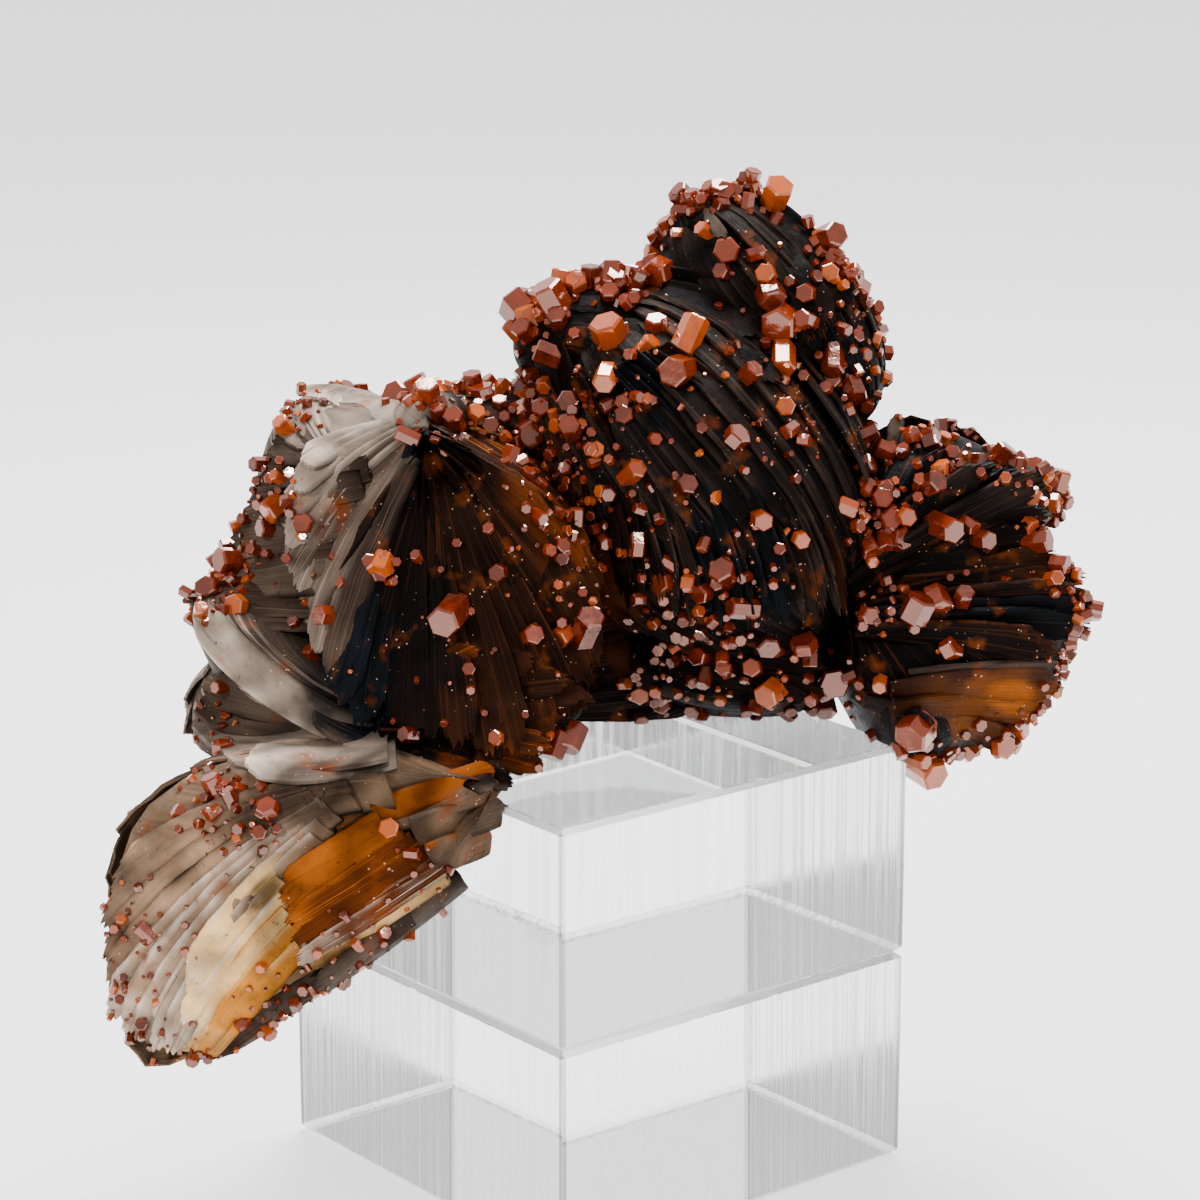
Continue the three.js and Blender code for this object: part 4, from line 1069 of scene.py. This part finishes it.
def crystal_mesh(name, seats):
    """Six-sided prisms with bevelled ends, one on each seat. Each is four rings of six corners with a
    corner in the middle of each end; it stands along its seat's normal, leaned and turned by its number."""
    seats = np.array(seats)
    number = np.arange(len(seats))
    width = seats[:, 6]
    length = width * (LENGTH[0] + (LENGTH[1] - LENGTH[0]) * spread(number, 4))
    normal = seats[:, 3:6] / np.linalg.norm(seats[:, 3:6], axis=1, keepdims=True)
    helper = np.where(np.abs(normal[:, :1]) < 0.8, [[1.0, 0, 0]], [[0, 1.0, 0]])
    side = np.cross(normal, helper)
    side /= np.linalg.norm(side, axis=1, keepdims=True)
    other = np.cross(normal, side)
    lean = np.radians(LEAN * spread(number, 5))[:, None]
    round_way = (2 * math.pi * spread(number, 6))[:, None]
    fall = side * np.cos(round_way) + other * np.sin(round_way)
    stem = normal * np.cos(lean) + fall * np.sin(lean)
    cross = np.cross(stem, fall)
    cross /= np.linalg.norm(cross, axis=1, keepdims=True)
    third = np.cross(stem, cross)
    middle = seats[:, :3] + normal * (width * RISE)[:, None]
    bevel = (width * BEVEL)[:, None]
    rings = []
    for height, inset in RINGS:
        radius = width[:, None] / 2 - bevel * inset
        level = height * (length[:, None] - 2 * bevel * (1 - inset))
        for corner in range(SIDES):
            angle = corner * 2 * math.pi / SIDES
            outward = cross * math.cos(angle) + third * math.sin(angle)
            rings.append(middle + stem * level + radius * outward)
    ends = [middle - stem * length[:, None] / 2, middle + stem * length[:, None] / 2]
    points = np.stack([*rings, *ends], axis=1)
    here = np.arange(SIDES)
    beside = (here + 1) % SIDES
    ring = SIDES * np.arange(len(RINGS) - 1)[:, None]
    quads = np.stack([ring + here, ring + beside, ring + SIDES + beside, ring + SIDES + here], axis=-1)
    quads = quads.reshape(-1, 4)
    low_end = SIDES * len(RINGS)
    top = low_end - SIDES
    each = low_end + 2
    low_cap = np.stack([np.full(SIDES, low_end), beside, here], axis=-1)
    high_cap = np.stack([np.full(SIDES, low_end + 1), top + here, top + beside], axis=-1)
    caps = np.concatenate([low_cap, high_cap])
    first = (each * number)[:, None, None]
    tone = np.repeat(spread(number, 7), each)
    place = points.reshape(-1, 3)
    return mesh_object(name, display_to_world(place), (first + quads).reshape(-1, 4),
                       (first + caps).reshape(-1, 3), {"tone": tone})


# Growth zones to a metre, the colours, and the tone past which a crystal turns orange.
ZONES = 900.0
DEEP_RED = (0.045, 0.004, 0.0006, 1)
BRIGHT_RED = (0.20, 0.021, 0.0012, 1)
ORANGE = (0.48, 0.085, 0.004, 1)
ZONE_RED = (0.20, 0.017, 0.002, 1)
ORANGE_FROM = 0.75


def vanadinite_finish():
    """Glassy crystals from brown-red to orange, each its own tone, with faint growth zones inside."""
    finish = Finish("vanadinite", {"IOR": 2.35, "Transmission Weight": 0.2, "Specular IOR Level": 0.34,
                                   "Specular Tint": (1, 0.66, 0.55, 1)})
    tone = finish.attribute("tone")["Fac"]
    place = finish.add("ShaderNodeTexCoord", {}, {})["Object"]
    zones = finish.noise(place, ZONES, 3.0)
    red = finish.mix(tone, DEEP_RED, BRIGHT_RED)
    orange = finish.mix((tone - ORANGE_FROM) * 3.5, red, ORANGE)
    finish.feed("Base Color", finish.mix((zones - 0.45) * 2.2, orange, ZONE_RED))
    finish.feed("Roughness", zones * 0.13 + 0.02)
    relief = {"Strength": 0.25, "Distance": 0.0001, "Height": zones}
    finish.feed("Normal", finish.add("ShaderNodeBump", {}, relief)["Normal"])
    return finish.material


placed = []
for group in CRYSTALS.values():
    for u, v, width in group:
        found = sight(surface, u, v)
        if found:
            placed.append((*found, width))
vanadinite = vanadinite_finish()
crystal_groups = {"crystals_large": placed, "crystals_small": patch_seats(), "crystals_crust": crust_seats()}
for name, seats in crystal_groups.items():
    crystals = crystal_mesh(name, seats)
    crystals.data.materials.append(vanadinite)
    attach(crystals, "root")
    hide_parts("vanadinite_on_barite")


# Acrylic blocks
# Two cast acrylic blocks, sawn, bevelled and polished, and stacked with nothing between them. The faces
# that were left as sawn carry fine upright marks, which show through from the front.
BLOCK_TURN = math.radians(38.95)
# A point is on a sawn face when it lies past this far from the stand's axis, and on an upright bevel when
# its distances across and deep add up to more than the second.
SAWN_FROM = 0.0195
EDGE_FROM = 0.03955
# The height of both blocks, and how far above or below the nearest flat face the level bevels lie.
STACK_HEIGHT = 0.0401
BEVEL_MIDDLE = 0.00028
BEVEL_HALF = 0.00021
# Saw marks to a metre across, deep and up, and smudges to a metre.
SAW_MARKS = (1600, 1600, 20)
SMUDGES = 90.0
CLEAR = (0.995, 1, 0.998, 1)
DULL = (0.12, 0.12, 0.12, 1)


def acrylic_finish():
    """Clear plastic with upright saw marks on its two back faces, satin bevels, dull upright edges and
    faint smudges."""
    finish = Finish("clear acrylic", {"IOR": 1.49, "Transmission Weight": 1.0})

    def maths(operation, *values):
        return finish.add("ShaderNodeMath", {"operation": operation}, dict(enumerate(values)))["Value"]

    place = finish.add("ShaderNodeTexCoord", {}, {})["Object"]
    turn = {"Vector": place, "Rotation": (0, 0, -BLOCK_TURN)}
    turned = finish.add("ShaderNodeMapping", {}, turn)["Vector"]
    parts = finish.add("ShaderNodeSeparateXYZ", {}, {"Vector": turned})
    marks = finish.add("ShaderNodeMapping", {}, {"Vector": turned, "Scale": SAW_MARKS})["Vector"]
    lines = finish.noise(marks, 1.0, 2.0)
    smudge = finish.noise(place, SMUDGES, 4.0)
    back_right = maths("GREATER_THAN", parts["X"], SAWN_FROM)
    back_left = maths("GREATER_THAN", parts["Y"], SAWN_FROM)
    sawn = maths("MAXIMUM", back_right, back_left)
    height = (lines - 0.5) * sawn + (smudge - 0.5) * 0.04
    relief = {"Strength": 0.2, "Distance": 0.0002, "Height": height}
    finish.feed("Normal", finish.add("ShaderNodeBump", {}, relief)["Normal"])
    haze = maths("MAXIMUM", smudge * 0.25 - 0.13, 0.0)
    level = maths("PINGPONG", parts["Z"], STACK_HEIGHT / 4)
    on_bevel = maths("COMPARE", level, BEVEL_MIDDLE, BEVEL_HALF)
    finish.feed("Roughness", haze + sawn * (lines * 1.5 - 0.47) + on_bevel * 0.4)
    from_axis = maths("ABSOLUTE", parts["X"]) + maths("ABSOLUTE", parts["Y"])
    on_edge = maths("GREATER_THAN", from_axis, EDGE_FROM)
    finish.feed("Base Color", finish.mix(on_edge * lines * 1.4, CLEAR, DULL))
    return finish.material


acrylic = acrylic_finish()
for name in ("upper_acrylic_block", "lower_acrylic_block"):
    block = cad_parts[name]
    block.data.materials.clear()
    block.data.materials.append(acrylic)


# Floor
# A pale sweep of matt card: flat under the stand, and curving up far behind it.
FLOOR_GREY = (0.45, 0.45, 0.455, 1)
FLOOR_GLOW = 1.3
FLOOR_DROP = 0.0001
FLOOR_HALF = 3.0
SWEEP_START = 0.9
SWEEP_RADIUS = 0.8


def sweep():
    """A strip whose profile is flat up to the sweep, then a quarter circle, then upright."""
    bend = np.linspace(0, math.pi / 2, 24)
    far = SWEEP_START + SWEEP_RADIUS
    y = np.concatenate([[-FLOOR_HALF], SWEEP_START + SWEEP_RADIUS * np.sin(bend), [far]])
    z = np.concatenate([[0], SWEEP_RADIUS * (1 - np.cos(bend)), [FLOOR_HALF]]) - FLOOR_DROP
    left = np.stack([np.full(len(y), -FLOOR_HALF), y, z], axis=1)
    right = left * [-1, 1, 1]
    row = np.arange(len(y) - 1)
    quads = np.stack([row, row + len(y), row + len(y) + 1, row + 1], axis=1)
    return mesh_object("floor", np.concatenate([left, right]), quads, np.empty((0, 3), int), {})


floor = sweep()
card = Finish("pale card", {"Base Color": FLOOR_GREY, "Roughness": 0.75, "Emission Color": (1, 1, 1, 1),
                            "Emission Strength": FLOOR_GLOW})
floor.data.materials.append(card.material)
for polygon in floor.data.polygons:
    polygon.use_smooth = True
